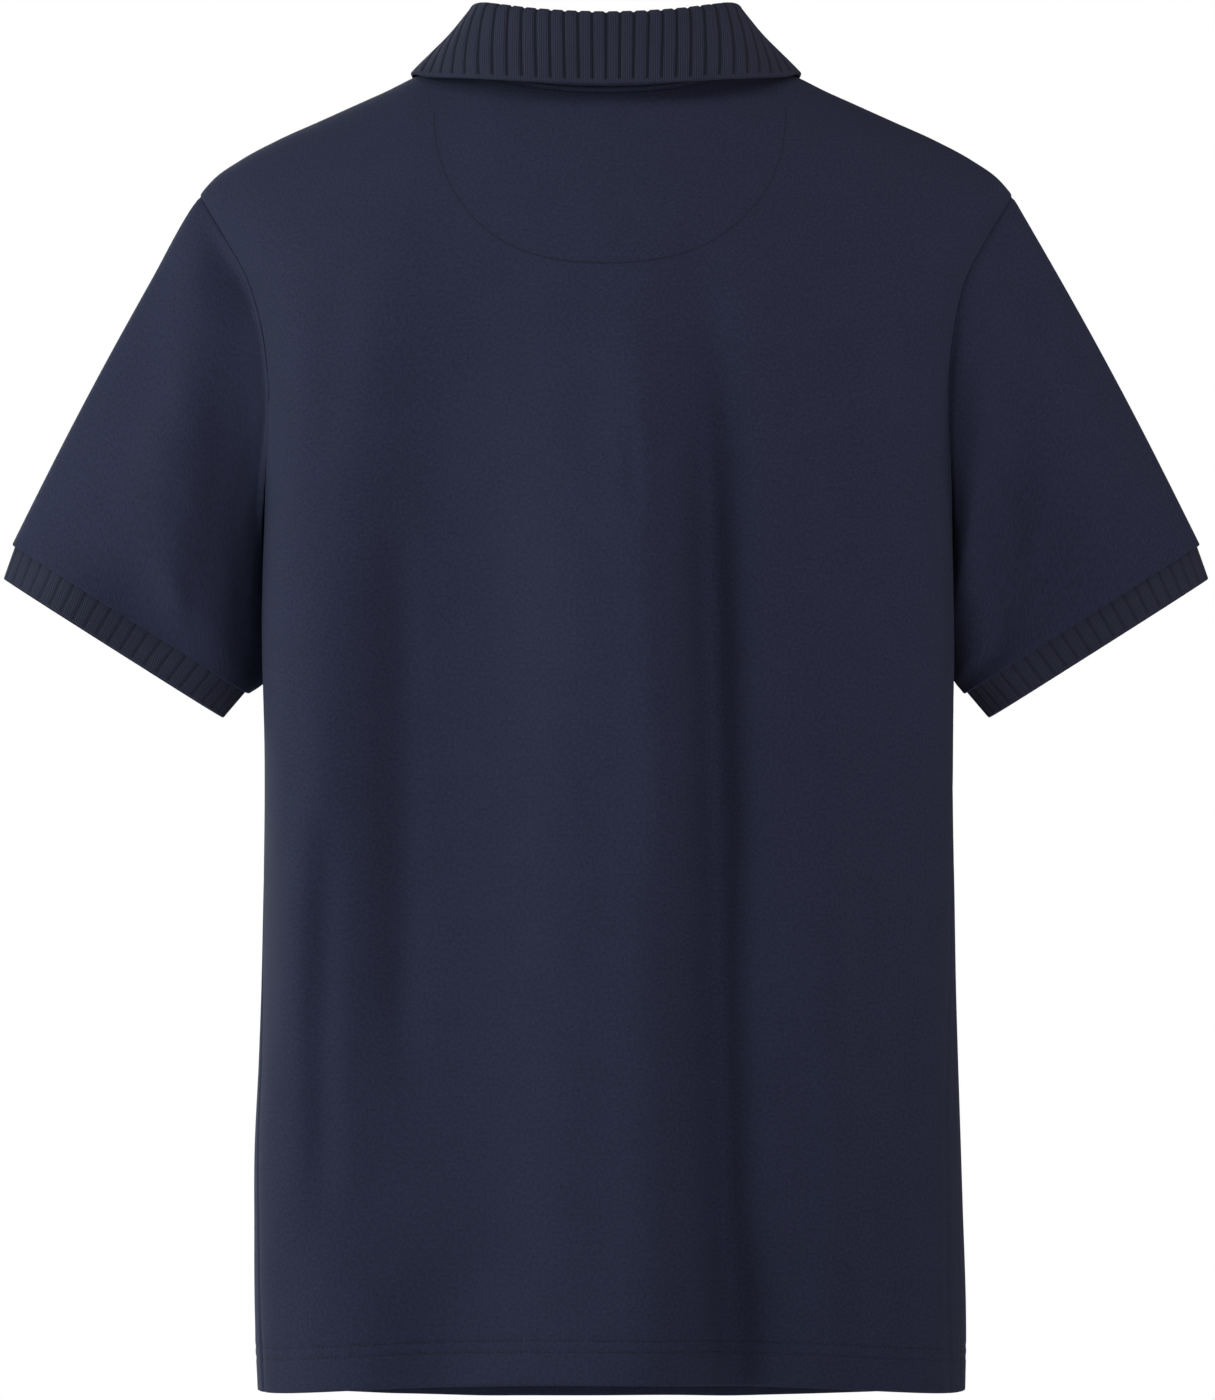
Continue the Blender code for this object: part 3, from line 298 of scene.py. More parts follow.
def rib_cloth(name, dark, light, wale, relief):
    """Flat-knit rib: straight fine wales, hardly any courses, and painted shade in its grooves."""
    cloth = Recipe(name, roughness=0.9, sheen=0.02)
    across, up, both = cloth.cloth_place()
    wander = cloth.noise(both, 240.0, 2.0) - 0.5
    wales = ((across + wander * (0.18 * wale)) * (TURN / wale)).sine() * 0.5 + 0.5
    courses = (up * (TURN / (0.8 * wale))).sine() * 0.5 + 0.5
    fibre = cloth.noise(both, 1500.0, 3.0, 0.7)
    mottle = cloth.noise(both, 40.0, 3.0, 0.55)
    place = cloth.node("ShaderNodeAttribute", {"attribute_name": "rib_place"}, {}, "Fac")
    ribbed = cloth.node("ShaderNodeAttribute", {"attribute_name": "ribbed"}, {}, "Fac")
    # painted shade: deep is 1 in a rib's groove, and there the colour is darkened as if in shade
    deep = (1.0 - place.from_whole().between(*GROOVE_PAINTED_SHADE_SPAN)) * ribbed
    share = fibre * 0.62 + wales * 0.24 + courses * 0.05 + mottle * 0.12 - 0.02
    colour = cloth.shades(share.between(*EVEN_TONE) * (1.0 - deep * GROOVE_PAINTED_SHADE_STRENGTH), dark, light)
    return cloth.finish(colour, wales * 0.6 + courses * 0.15 + fibre * 0.4, relief)


def cloudy(finish, dark, light, scale, detail, relief):
    """One noise for colour and relief: the twist of spun thread, or the cloud in cast resin."""
    place = finish.node("ShaderNodeTexCoord", {}, {}, "Object")
    cloud = finish.noise(place, scale, detail)
    return finish.finish(finish.shades(cloud, dark, light), cloud, relief)


body_knit = knit_cloth("navy_knit", (0.0130, 0.0150, 0.034), (0.039, 0.0445, 0.098),
                       1.05 * MM, 0.85 * MM, 0.14 * MM)
rib_knit = rib_cloth("navy_rib", (0.0105, 0.0112, 0.022), (0.051, 0.0555, 0.102),
                     1.25 * MM, 0.16 * MM)
sewing_thread = cloudy(Recipe("navy_thread", roughness=0.6, sheen=0.1),
                       (0.005, 0.006, 0.012), (0.020, 0.022, 0.040), 2600.0, 1.0, 0.03 * MM)
button_resin = cloudy(Recipe("navy_resin", roughness=0.28, gloss=0.5, coat=0.3),
                      (0.009, 0.010, 0.020), (0.022, 0.024, 0.042), 420.0, 3.0, 0.01 * MM)
print("finishes:", [m.name for m in (body_knit, rib_knit, sewing_thread, button_resin)])

# %% [markdown]
# ## Curves through short tables
#
# A garment's form is known at a handful of heights: how wide it is at the hem, the waist, the
# chest. A smooth curve through those few numbers gives every height between them. The same few
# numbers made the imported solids, so the thin cloth lies where the solids are.

# %% Smooth reading of a table
def smooth_curve(at, places, values):
    slopes = np.gradient(values, places)
    left = np.clip(np.searchsorted(places, at) - 1, 0, len(places) - 2)
    gap = places[left + 1] - places[left]
    s = (at - places[left]) / gap
    return ((2 * s**3 - 3 * s**2 + 1) * values[left]
            + (s**3 - 2 * s**2 + s) * gap * slopes[left]
            + (3 * s**2 - 2 * s**3) * values[left + 1]
            + (s**3 - s**2) * gap * slopes[left + 1])


def smooth_read(at, places, values):
    """A table in millimetres, read at places in metres, level past its ends."""
    places = np.asarray(places, dtype=float)
    wanted = np.clip(np.asarray(at, dtype=float) / MM, places[0], places[-1])
    return smooth_curve(wanted, places, np.asarray(values, dtype=float))


def ease(value, start, end):
    """0 before start, 1 after end, smooth between."""
    s = np.clip((np.asarray(value) - start) / (end - start), 0.0, 1.0)
    return s * s * (3.0 - 2.0 * s)


def unit(vectors):
    return vectors / np.maximum(np.linalg.norm(vectors, axis=-1, keepdims=True), 1e-12)


def stack(x, y, z):
    return np.stack(np.broadcast_arrays(x, y, z), axis=-1)


def lengths_along(points, axis=0):
    """How far along a row of points each one lies."""
    steps = np.linalg.norm(np.diff(points, axis=axis), axis=-1)
    start = np.zeros_like(np.take(steps, [0], axis=axis))
    return np.concatenate([start, np.cumsum(steps, axis=axis)], axis=axis)


def grid_lengths(points):
    """How far along its row and up its column each point of a grid lies."""
    return lengths_along(points, axis=1), lengths_along(points, axis=0)


def share_along(points):
    length = lengths_along(points)
    return length / length[-1]


NUDGE = 1e-4


def slope_normal(surface, first, second):
    """Normals of surface(first, second), from four points close by."""
    along_first = surface(first + NUDGE, second) - surface(first - NUDGE, second)
    along_second = surface(first, second + NUDGE) - surface(first, second - NUDGE)
    return unit(np.cross(along_first, along_second))


# %% [markdown]
# ## The body's form
#
# The body is a tube with a boxy oval section, given by a turn (0 at the wearer's left side, 90
# degrees at the middle of the back) and a height. Toward the shoulder seams the tube rounds
# over. Sculpting it by hand would also work, but then the back, the front and the sleeves would
# have to be fitted to each other by eye. One formula for the whole body lets every piece be cut
# from it so that the seams meet.

# %% Sizes and form of the body
CLOTH = 1.5 * MM
HEM_CLOTH = 2.8 * MM
HEM_BAND = 24.0 * MM
SEAM_GAP, PANEL_GAP = 0.4 * MM, 0.02 * MM
NECK_HALF_WIDTH, NECK_POINT_HEIGHT = 85.0 * MM, 4.0 * MM
BACK_NECK_HEIGHT, FRONT_NECK_HEIGHT = -11.0 * MM, -75.0 * MM
NECKLINE_POWER = 2.35
SHOULDER_TIP = (220.0 * MM, -67.5 * MM)
UNDERARM_HEIGHT = -312.0 * MM
ROUNDING_DEPTH, RIDGE_FLAT = 150.0 * MM, 0.4 * MM
SECTION_POWER = 2.8             # 2 is an ellipse, more is boxier
UNDERARM_HOLLOW_REACH = 30.0 * MM
HEM_SIDE, HEM_BACK, HEM_FRONT = -712.0 * MM, -705.0 * MM, -721.5 * MM

SHOULDER_LINE = {
    "across": (0.0, 30.0, 60.0, 85.0, 104.5, 118.0, 130.0,
               154.0, 178.0, 198.0, 213.0, 220.0, 226.0),
    "height": (31.0, 26.5, 16.5, 4.0, -4.0, -10.8, -16.2,
               -27.0, -37.8, -48.6, -59.4, -67.5, -76.0),
}
BODY = {
    "height": (-730.0, -675.0, -610.0, -500.0, -420.0, -360.0, -312.0, -270.0, -235.0, -200.0,
               -167.0, -135.0, -110.7, -91.8, -67.5, -40.0, 0.0, 31.0),
    "half_width": (190.5, 191.5, 190.0, 187.0, 187.0, 189.0, 190.0, 189.5, 188.0, 188.0,
                   190.1, 196.2, 203.4, 210.8, 222.4, 232.0, 240.0, 244.0),
    "back_depth": (120.0, 119.0, 117.0, 114.0, 114.0, 117.0, 119.0, 120.0, 120.5, 121.0,
                   120.0, 117.5, 113.0, 108.0, 98.0, 86.0, 68.0, 56.0),
    "front_depth": (125.0, 124.0, 122.0, 120.0, 121.0, 123.0, 125.0, 126.0, 126.5, 125.0,
                    119.0, 107.0, 93.0, 82.0, 67.0, 60.0, 50.0, 44.0),
    "underarm_hollow": (0.0, 0.0, 0.0, 0.0, 2.0, 8.0, 13.0, 15.5, 11.0, 0.0,
                        0.0, 0.0, 0.0, 0.0, 0.0, 0.0, 0.0, 0.0),
    "sway": (-3.0, -2.8, -2.4, -2.0, -2.0, -2.0, -2.4, -2.6, -2.8, -2.5,
             -2.0, -1.2, -0.3, 0.0, 0.0, 0.0, 0.0, 0.0),
}
ARMHOLE = {                     # degrees round from the side
    "height": (-312.0, -310.0, -306.0, -297.0, -270.0, -235.0, -200.0, -167.0, -135.0, -110.7,
               -91.8, -67.5),
    "turn_back": (0.0, 0.8, 2.0, 3.8, 8.0, 13.6, 17.8, 19.8, 20.8, 19.5, 14.9, 10.0),
    "turn_front": (0.0, 0.9, 2.3, 4.6, 10.0, 17.0, 22.5, 25.0, 26.0, 24.0, 18.0, 10.0),
}
SIDE_SEAM = {"height": (-730.0, -600.0, -450.0, -330.0, -312.0),
             "turn": (13.8, 13.5, 7.0, 0.8, 0.0)}


def body_size(name, z):
    return smooth_read(z, BODY["height"], BODY[name]) * MM


def shoulder_height(x):
    return smooth_read(np.abs(x), SHOULDER_LINE["across"], SHOULDER_LINE["height"]) * MM


def armhole_turn(side, z):
    column = "turn_back" if side > 0 else "turn_front"
    return np.maximum(smooth_read(z, ARMHOLE["height"], ARMHOLE[column]), 0.0) * DEG


def seam_turn(z):
    return smooth_read(z, SIDE_SEAM["height"], SIDE_SEAM["turn"]) * DEG


def body_form(turn, z):
    """The body without folds."""
    power = 2.0 / SECTION_POWER
    across = np.sign(np.cos(turn)) * np.abs(np.cos(turn)) ** power
    along = np.sign(np.sin(turn)) * np.abs(np.sin(turn)) ** power
    depth = np.where(along >= 0, body_size("back_depth", z), body_size("front_depth", z))
    x = body_size("half_width", z) * across
    drop = np.clip((shoulder_height(x) - z - RIDGE_FLAT) / ROUNDING_DEPTH, 0.0, 1.0)
    y = depth * np.sqrt(np.maximum(1.0 - (1.0 - drop) ** 2, 0.0)) * along
    hollow = body_size("underarm_hollow", z) * np.exp(-(y / UNDERARM_HOLLOW_REACH) ** 2)
    return stack(x - np.sign(x) * hollow + body_size("sway", z), y, z)


def turn_at(side, x, z):
    """The turn at which the form passes x, on the back (side 1) or the front (-1)."""
    share = np.clip(np.abs(x) / body_size("half_width", z), 0.0, 1.0)
    turn = np.arccos(share ** (SECTION_POWER / 2.0))
    return np.where(np.asarray(x) < 0, math.pi - turn, turn) * side


def neckline_height(side, x):
    middle = BACK_NECK_HEIGHT if side > 0 else FRONT_NECK_HEIGHT
    share = np.clip(np.abs(x) / NECK_HALF_WIDTH, 0.0, 1.0) ** NECKLINE_POWER
    return middle + (NECK_POINT_HEIGHT - middle) * share


def top_height(side, x):
    return np.where(np.abs(x) < NECK_HALF_WIDTH, neckline_height(side, x), shoulder_height(x))


# %% [markdown]
# ## Folds
#
# Filled-out knit hangs in long soft troughs and ridges, from the shoulder blades to the hem,
# with small puckers near the seams. Each fold is one row of a table: where it starts and ends,
# how wide it is at both ends and how far it stands out. A cloth simulation makes good creases
# where cloth falls freely, but it can't be told where each one goes, and here every fold has
# its place. The front's rows are listed one by one. Those of the back and the sleeves were first
# listed, and a separate fitting program then worked out most of their numbers. On the back the
# heights, and some whole rows, were changed again after that.

# %% Fold tables and the folded surface
FOLD_COLUMNS = ("x_high", "z_high", "x_low", "z_low", "wide_high", "wide_low", "out")
BACK_FOLDS = {                  # millimetres
    "left_blade_trough": (85, -25, 130, -770, 30, 42, -12.0),
    "left_waist_ridge": (149, -360, 186, -633, 11, 13, 4.0),
    "middle_ridge": (7, -103, -30, -880, 42, 40, 11.7),
    "long_right_trough": (-50, -69, -69, -860, 13, 17, -16.0),
    "blade_ridge": (-13, -84, -41, -485, 23, 15, 7.5),
    "left_armhole_trough": (136, -69, 175, -392, 14, 12, -2.0),
    "right_armhole_dent": (-149, -84, -171, -230, 10, 10, -3.7),
    "left_hem_side_trough": (159, -608, 184, -744, 10, 23, -2.5),
    "left_hem_side_crease": (145, -503, 151, -755, 14, 16, -1.8),
    "left_hem_trough": (90, -615, 110, -880, 36, 28, -7.6),
    "right_hem_pucker": (-77, -604, -79, -815, 23, 20, -8.7),
    "left_side_crease": (165, -338, 167, -411, 10, 10, -2.7),
    "right_side_low_ridge": (-163, -409, -161, -680, 12, 13, 2.0),
    "left_flank_fullness": (158, -90, 160, -760, 20, 22, 6.0),
    "middle_crease": (4, -291, -3, -726, 22, 22, -4.3),
    "right_blade_crease": (-122, -38, -134, -345, 27, 19, -7.7),
    "right_low_crease": (-141, -549, -140, -699, 10, 21, -4.5),
    "right_plateau": (-146, -56, -131, -791, 33, 20, 11.3),
    "left_plateau": (171, -60, 186, -774, 21, 13, 10.4),
    "ridge_side_trough": (63, -175, 72, -812, 47, 40, -11.8),
    "right_inner_ridge": (-85, -104, -119, -597, 22, 37, 6.1),
    "left_shoulder_hollow": (53, -42, 62, -341, 37, 24, -5.6),
    "right_flank_trough": (-133, -250, -138, -605, 19, 10, -8.1),
    "right_blade_trough": (-155, -93, -155, -696, 20, 17, -7.8),
    "left_edge_trough": (186, -283, 174, -627, 12, 10, -7.6),
    # Smaller ones, which only the thin cloth has.
    "right_side_crease": (-180, -334, -149, -355, 10, 16, -0.7),
    "middle_left_trough": (-11, -206, -75, -742, 13, 13, -0.7),
    "right_shoulder_ridge": (-45, -131, -23, -263, 30, 38, 1.2),
    "left_flank_ridge": (125, -367, 118, -591, 10, 10, 0.9),
    "left_flank_crease": (151, -370, 155, -650, 9, 10, -5.0),
    "left_blade_inner_crease": (113, -215, 112, -560, 10, 12, -5.0),
    "middle_short_crease": (-12, -186, -17, -248, 4, 5, -1.3),
    "right_hem_crease": (-72, -680, -75, -770, 5, 6, -1.8),
    "right_side_short_crease": (-176, -318, -160, -372, 5, 7, -1.8),
}
FRONT_FOLDS = {
    "left_chest_trough": (108, -170, 96, -600, 15, 22, -6.0),
    "right_chest_trough": (-102, -150, -120, -680, 14, 24, -8.0),
    "middle_ridge": (-34, -290, -30, -830, 26, 28, 4.0),
    "left_waist_trough": (150, -350, 172, -620, 12, 14, -5.0),
    "right_hem_trough": (-62, -500, -72, -840, 14, 20, -5.0),
    "left_hem_trough": (58, -540, 76, -840, 14, 20, -4.5),
    "left_armhole_dent": (170, -120, 148, -190, 9, 12, -3.0),
    "right_armhole_dent": (-172, -110, -150, -200, 9, 12, -3.5),
    # Smaller ones, which only the thin cloth has.
    "left_side_crease": (174, -325, 148, -440, 6, 9, -1.5),
    "right_side_crease": (-176, -330, -146, -430, 6, 8, -1.4),
    "placket_foot_left": (20, -252, 46, -360, 6, 12, -1.1),
    "placket_foot_right": (-21, -254, -40, -340, 6, 11, -0.9),
    "left_chest_crease": (128, -130, 112, -250, 6, 8, -1.0),
    "right_chest_crease": (-126, -140, -108, -260, 6, 9, -1.1),
    "left_low_crease": (122, -600, 118, -740, 9, 11, -1.2),
    "right_low_crease": (-140, -590, -150, -740, 9, 12, -1.3),
}
FOLD_FADE = 0.28
FOLD_FREE_EDGE = 30.0 * MM
FOLD_WAY = np.array([0.3, 1.0, 1.0])    # folds stand off the body more than they widen it


def fold_height(folds, x, z):
    total = np.zeros(np.broadcast(x, z).shape)
    for row in folds.values():
        fold = dict(zip(FOLD_COLUMNS, (value * MM for value in row)))
        share = (fold["z_high"] - z) / (fold["z_high"] - fold["z_low"])
        middle = fold["x_high"] + (fold["x_low"] - fold["x_high"]) * share
        wide = fold["wide_high"] + (fold["wide_low"] - fold["wide_high"]) * np.clip(share, 0, 1)
        fade = ease(share, 0.0, FOLD_FADE) * ease(1.0 - share, 0.0, FOLD_FADE)
        total = total + fold["out"] * fade * np.exp(-((x - middle) / wide) ** 2)
    return total


def body_surface(turn, z):
    """The outer face of the body's cloth, with its folds."""
    plain = body_form(turn, z)
    behind, in_front = (fold_height(table, plain[..., 0], plain[..., 2])
                        for table in (BACK_FOLDS, FRONT_FOLDS))
    folds = np.where(plain[..., 1] >= 0, behind, in_front)
    folds = folds * ease(np.abs(plain[..., 1]), 0.0, FOLD_FREE_EDGE)
    return plain + slope_normal(body_form, turn, z) * FOLD_WAY * folds[..., None]


def body_normal(turn, z):
    """Outward normals; on the shoulder line they stand square to it."""
    normal = slope_normal(body_surface, turn, z)
    x = body_form(turn, z)[..., 0]
    fall = (shoulder_height(x + NUDGE) - shoulder_height(x - NUDGE)) / (2 * NUDGE)
    on_ridge = shoulder_height(x - body_size("sway", z)) - z < RIDGE_FLAT
    square = unit(stack(-fall, np.zeros_like(fall), np.ones_like(fall)))
    return np.where(on_ridge[..., None], square, normal)


print("folds: %d behind, %d in front" % (len(BACK_FOLDS), len(FRONT_FOLDS)))

# %% [markdown]
# ## A thin closed wall
#
# Cloth has two faces and an edge all round. Solidify would thicken a sheet, but hems are
# thicker than the rest and ribs stand on one face only, so the two faces are laid out as two
# grids of points and joined along their rim. Every corner also gets its place on the flat
# cloth, which is the UV map that the knit pattern follows.

# %% The wall builder
def wall(name, outer, inner, flat, material, keep=None, closed=False, marks=None):
    """Joins two grids of points into a closed wall. flat holds (across, up) in metres; a closed
    wall's flat grid has one more column than its points. marks are values kept on each point."""
    rows, columns = outer.shape[:2]
    cells = columns if closed else columns - 1
    row, cell = np.meshgrid(np.arange(rows - 1), np.arange(cells), indexing="ij")
    if keep is not None:
        row, cell = row[keep], cell[keep]
    row, cell = row.ravel(), cell.ravel()
    beside = (cell + 1) % columns
    corner = np.stack([row * columns + cell, row * columns + beside,
                       (row + 1) * columns + beside, (row + 1) * columns + cell], axis=1)
    place = np.stack([flat[row, cell], flat[row, cell + 1],
                      flat[row + 1, cell + 1], flat[row + 1, cell]], axis=1)
    count = rows * columns
    edges = {}
    for face, spots in zip(corner.tolist(), place):
        for i in range(4):
            edges[(face[i], face[(i + 1) % 4])] = (spots[i], spots[(i + 1) % 4])
    rim, rim_place = [], []
    for (a, b), (spot_a, spot_b) in edges.items():
        if (b, a) not in edges:
            rim.append((b, a, count + a, count + b))
            rim_place.append((spot_b, spot_a, spot_a, spot_b))
    faces = np.concatenate([corner, corner[:, ::-1] + count, np.array(rim)])
    places = np.concatenate([place, place[:, ::-1], np.array(rim_place)])
    points = np.concatenate([outer.reshape(-1, 3), inner.reshape(-1, 3)])
    used, numbers = np.unique(faces, return_inverse=True)
    faces = numbers.reshape(-1, 4)
    first = points[used][faces[0]]
    out = np.cross(first[1] - first[0], first[2] - first[1])
    toward = inner.reshape(-1, 3)[corner[0, 0]] - outer.reshape(-1, 3)[corner[0, 0]]
    if np.dot(out, toward) > 0:
        faces = faces[:, ::-1]
        places = places[:, ::-1]
    mesh = bpy.data.meshes.new(name)
    mesh.from_pydata(points[used].tolist(), [], faces.tolist())
    layer = mesh.uv_layers.new(name="cloth")
    layer.data.foreach_set("uv", places.reshape(-1, 2).ravel())
    for key, values in (marks or {}).items():
        kind = "FLOAT_VECTOR" if values.ndim == 2 else "FLOAT"
        mark = mesh.attributes.new(key, kind, "POINT")
        mark.data.foreach_set("vector" if values.ndim == 2 else "value", values[used].ravel())
    mesh.shade_smooth()
    mesh.materials.append(material)
    return add_object(name, mesh)


def cloth_area(points):
    """The area of a grid of points, in square metres."""
    first = points[1:, 1:] - points[:-1, :-1]
    second = points[1:, :-1] - points[:-1, 1:]
    return float(np.linalg.norm(np.cross(first, second), axis=-1).sum() / 2)


# %% [markdown]
# ## Back and front
#
# The back is one piece from the shoulder seams to the hem. The front is the same with a deeper
# neck and a slit for the placket. The grid of each follows its own edges, so the armhole, the
# shoulder seam, the neckline and the hem are all clean lines of points. Points crowd together
# near the edges, where a seam pulls the cloth in, and at the hem, where two rows of stitches
# press a groove.

# %% Columns and rows of a panel
EDGE_STEPS = (0.0, 0.0024, 0.0055, 0.010, 0.0165)       # shares of a row's length, at a seam
EVEN_STEPS = np.linspace(0.025, 0.95, 75)
SLOT_STEPS = (0.9625, 0.975, 0.9875, 1.0)
COLUMN_SHARES = np.concatenate([EDGE_STEPS, EVEN_STEPS, SLOT_STEPS])
SLOT_COLUMN = len(EDGE_STEPS) + len(EVEN_STEPS) - 1     # lies beside the placket's slit
NECK_COLUMN = SLOT_COLUMN - 30                          # reaches the neck point on the top row
SLOT_HALF_WIDTH, SLOT_BOTTOM = 13.0 * MM, -240.0 * MM
STITCH_LINES = (HEM_BAND, HEM_BAND - 6.0 * MM)          # above the hem's edge
HEM_ROWS = np.array([0.0, 0.4, 1.0, 2.2, 5.0, 9.0, 13.0, 16.0, 17.2, 18.0, 18.8, 20.0, 21.8,
                     23.2, 24.0, 24.8, 26.0, 29.0, 33.0]) * MM
ROWS_BELOW = 78
RISES = np.concatenate([[0.004, 0.009, 0.016, 0.026, 0.038], np.linspace(0.05, 0.972, 64),
                        [0.979, 0.9835, 0.9862, 0.9882, 0.9902, 0.9925, 0.9955, 0.998, 1.0]])
SAMPLES = 700                                           # along a row, to measure its length
NEAR_SIDE = 45 * DEG                    # columns go by the turn to here, then by the place across


def spread_columns(turn, z, neck_weight):
    """Columns along a densely sampled row, at shares of its length."""
    points = body_form(turn, z)
    length = lengths_along(points)
    x = points[:, 0] - body_size("sway", z)
    slot = np.interp(-SLOT_HALF_WIDTH, -x, length) / length[-1]
    neck = np.interp(-NECK_HALF_WIDTH, -x, length) / length[-1]
    neck_share, slot_share = COLUMN_SHARES[NECK_COLUMN], COLUMN_SHARES[SLOT_COLUMN]
    at_neck = (1.0 - neck_weight) * slot * neck_share / slot_share + neck_weight * neck
    share = np.interp(COLUMN_SHARES, [0.0, neck_share, slot_share, 1.0], [0.0, at_neck, slot, 1.0])
    wanted = share * length[-1]
    new_z = np.interp(wanted, length, z)
    by_turn = np.interp(wanted, length, turn)
    by_x = turn_at(1, np.interp(wanted, length, x), new_z)
    new_turn = np.where(by_turn < NEAR_SIDE, by_turn, by_x)
    new_turn[-1] = math.pi / 2
    return new_turn, new_z


def armhole_row(side, rise):
    z = UNDERARM_HEIGHT + (SHOULDER_TIP[1] - UNDERARM_HEIGHT) * rise
    return armhole_turn(side, z), z


def half_panel(side):
    """(turn, z) of a panel's left half, from the hem up and from the side inward."""
    w = np.linspace(0.0, 1.0, SAMPLES)
    middle_hem = HEM_BACK if side > 0 else HEM_FRONT
    drop = UNDERARM_HEIGHT - HEM_SIDE
    shares = np.concatenate([HEM_ROWS / drop,
                             np.linspace(HEM_ROWS[-1] / drop + 0.012, 1.0, ROWS_BELOW)])
    hem = HEM_SIDE + (middle_hem - HEM_SIDE) * np.sin(w * math.pi / 2) ** 2
    turns, heights = [], []
    for share in shares:
        z = hem + (UNDERARM_HEIGHT - hem) * share
        start = side * float(seam_turn(z[0]))
        turn, z = spread_columns(start + (math.pi / 2 - start) * w, z, 0.0)
        turns.append(turn)
        heights.append(z)
    for rise in RISES:
        edge_turn, edge_z = armhole_row(side, rise)
        way = edge_turn + (math.pi / 2 - edge_turn) * w
        fall = np.maximum(np.cos(way), 0.0) ** (2.0 / SECTION_POWER)
        edge_x = body_size("half_width", edge_z) * fall[0]
        x = edge_x * fall / fall[0]
        x[np.argmin(np.abs(x - NECK_HALF_WIDTH))] = NECK_HALF_WIDTH
        z = UNDERARM_HEIGHT + (top_height(side, x) - UNDERARM_HEIGHT) * rise
        z[0] = edge_z
        turn = turn_at(1, x, z)
        turn[0] = edge_turn
        turn, z = spread_columns(turn, z, rise ** 2)
        turns.append(turn)
        heights.append(z)
    return side * np.array(turns), np.array(heights)


def whole_panel(side):
    turns, heights = half_panel(side)
    other = side * math.pi - turns
    return (np.concatenate([turns, other[:, -2::-1]], axis=1),
            np.concatenate([heights, heights[:, -2::-1]], axis=1))


print("a panel has %d by %d points" % (2 * len(COLUMN_SHARES) - 1,
                                       len(HEM_ROWS) + ROWS_BELOW + len(RISES)))

# %% [markdown]
# Where two pieces are sewn, the seam allowance lies inside and the cloth rolls in toward it.
# That makes the soft valley along every seam. Along a hem the stitches pull the cloth in a
# little too, and it puckers between them, never quite evenly.

# %% Seam valleys, stitch grooves and the two panels
SEAM_VALLEY, SEAM_VALLEY_WIDE = 0.9 * MM, 1.7 * MM
STITCH_GROOVE, STITCH_GROOVE_WIDE = 0.32 * MM, 1.0 * MM
EDGE_ROUND = 1.1 * MM
NECK_STITCH_DROP, NECK_SEAM_PAD, NECK_PAD_EDGE = 3.6 * MM, 0.55 * MM, 1.2 * MM
NECK_GROOVE_DEEPER, NECK_GROOVE_NARROWER = 1.5, 1.4
HEM_PUCKER, HEM_PUCKER_REACH, HEM_PUCKER_PITCH = 0.28 * MM, 9.0 * MM, 11.0 * MM


def valley(distance, deep=SEAM_VALLEY, wide=SEAM_VALLEY_WIDE):
    return -deep * np.exp(-(distance / wide) ** 2)


def groove(distance):
    return valley(distance, STITCH_GROOVE, STITCH_GROOVE_WIDE)


def rounded(distance):
    """How far a turned edge's face falls back toward the cloth's middle."""
    share = np.clip(1.0 - distance / EDGE_ROUND, 0.0, 1.0)
    return EDGE_ROUND * (1.0 - np.sqrt(1.0 - share ** 2)) * 0.75


def pucker(place, pitch, seed):
    """A fine uneven wave, from -1 to 1."""
    phase = place / pitch * TURN
    return (np.sin(phase + seed) + 0.6 * np.sin(0.617 * phase + 2.3 * seed)
            + 0.5 * np.sin(1.43 * phase + 4.1 * seed)) / 2.1


def hem_relief(across, above, seed):
    """Grooves of the two rows of stitches, and the puckers beside them."""
    relief = sum(groove(above - line) for line in STITCH_LINES)
    near = np.exp(-((above - HEM_BAND) / HEM_PUCKER_REACH) ** 2)
    relief = relief + HEM_PUCKER * near * pucker(across, HEM_PUCKER_PITCH, seed)
    return relief - rounded(above)


def neck_relief(below):
    """The seam allowance under the cloth beside the neckline, and the groove that holds it."""
    padded = NECK_SEAM_PAD * ease(NECK_STITCH_DROP - below, 0.0, NECK_PAD_EDGE)
    pressed = NECK_GROOVE_DEEPER * groove((below - NECK_STITCH_DROP) * NECK_GROOVE_NARROWER)
    return padded + pressed - 0.5 * rounded(below)


def lay_panel(side):
    """A panel's points, normals, flat places and heights, as grids."""
    turns, heights = whole_panel(side)
    points, normals = body_surface(turns, heights), body_normal(turns, heights)
    across, above = grid_lengths(points)
    across = across - across[:, [len(COLUMN_SHARES) - 1]]
    from_end = np.abs(across[:, [0]]) - np.abs(across)
    relief = valley(from_end) + hem_relief(across, above, 1.0 + side)
    below = above[[-1]] - above
    shoulder = np.abs(points[-1, :, 0]) >= NECK_HALF_WIDTH - 0.5 * MM
    relief = relief + np.where(shoulder[None, :], valley(below), neck_relief(below))
    points = points + normals * relief[..., None] + np.array([0.0, side * PANEL_GAP / 2, 0.0])
    thick = np.where(above < HEM_BAND + 0.4 * MM, HEM_CLOTH, CLOTH) - 1.6 * rounded(above)
    return {"heights": heights, "outer": points, "inner": points - normals * thick[..., None],
            "normals": normals, "flat": np.stack([across, above], axis=-1), "above": above}


panels = {}
pieces = {}
for name, side in (("back", 1), ("front", -1)):
    panel = panels[name] = lay_panel(side)
    keep = None
    if side < 0:
        rows, columns = panel["outer"].shape[:2]
        keep = np.ones((rows - 1, columns - 1), dtype=bool)
        slit = panel["heights"][:-1, len(COLUMN_SHARES) - 1] > SLOT_BOTTOM
        keep[slit, SLOT_COLUMN:columns - 1 - SLOT_COLUMN] = False
    pieces[name] = wall(name + "_cloth", panel["outer"], panel["inner"], panel["flat"],
                        body_knit, keep)
    print(name, "%.3f square metres of cloth" % cloth_area(panel["outer"]))

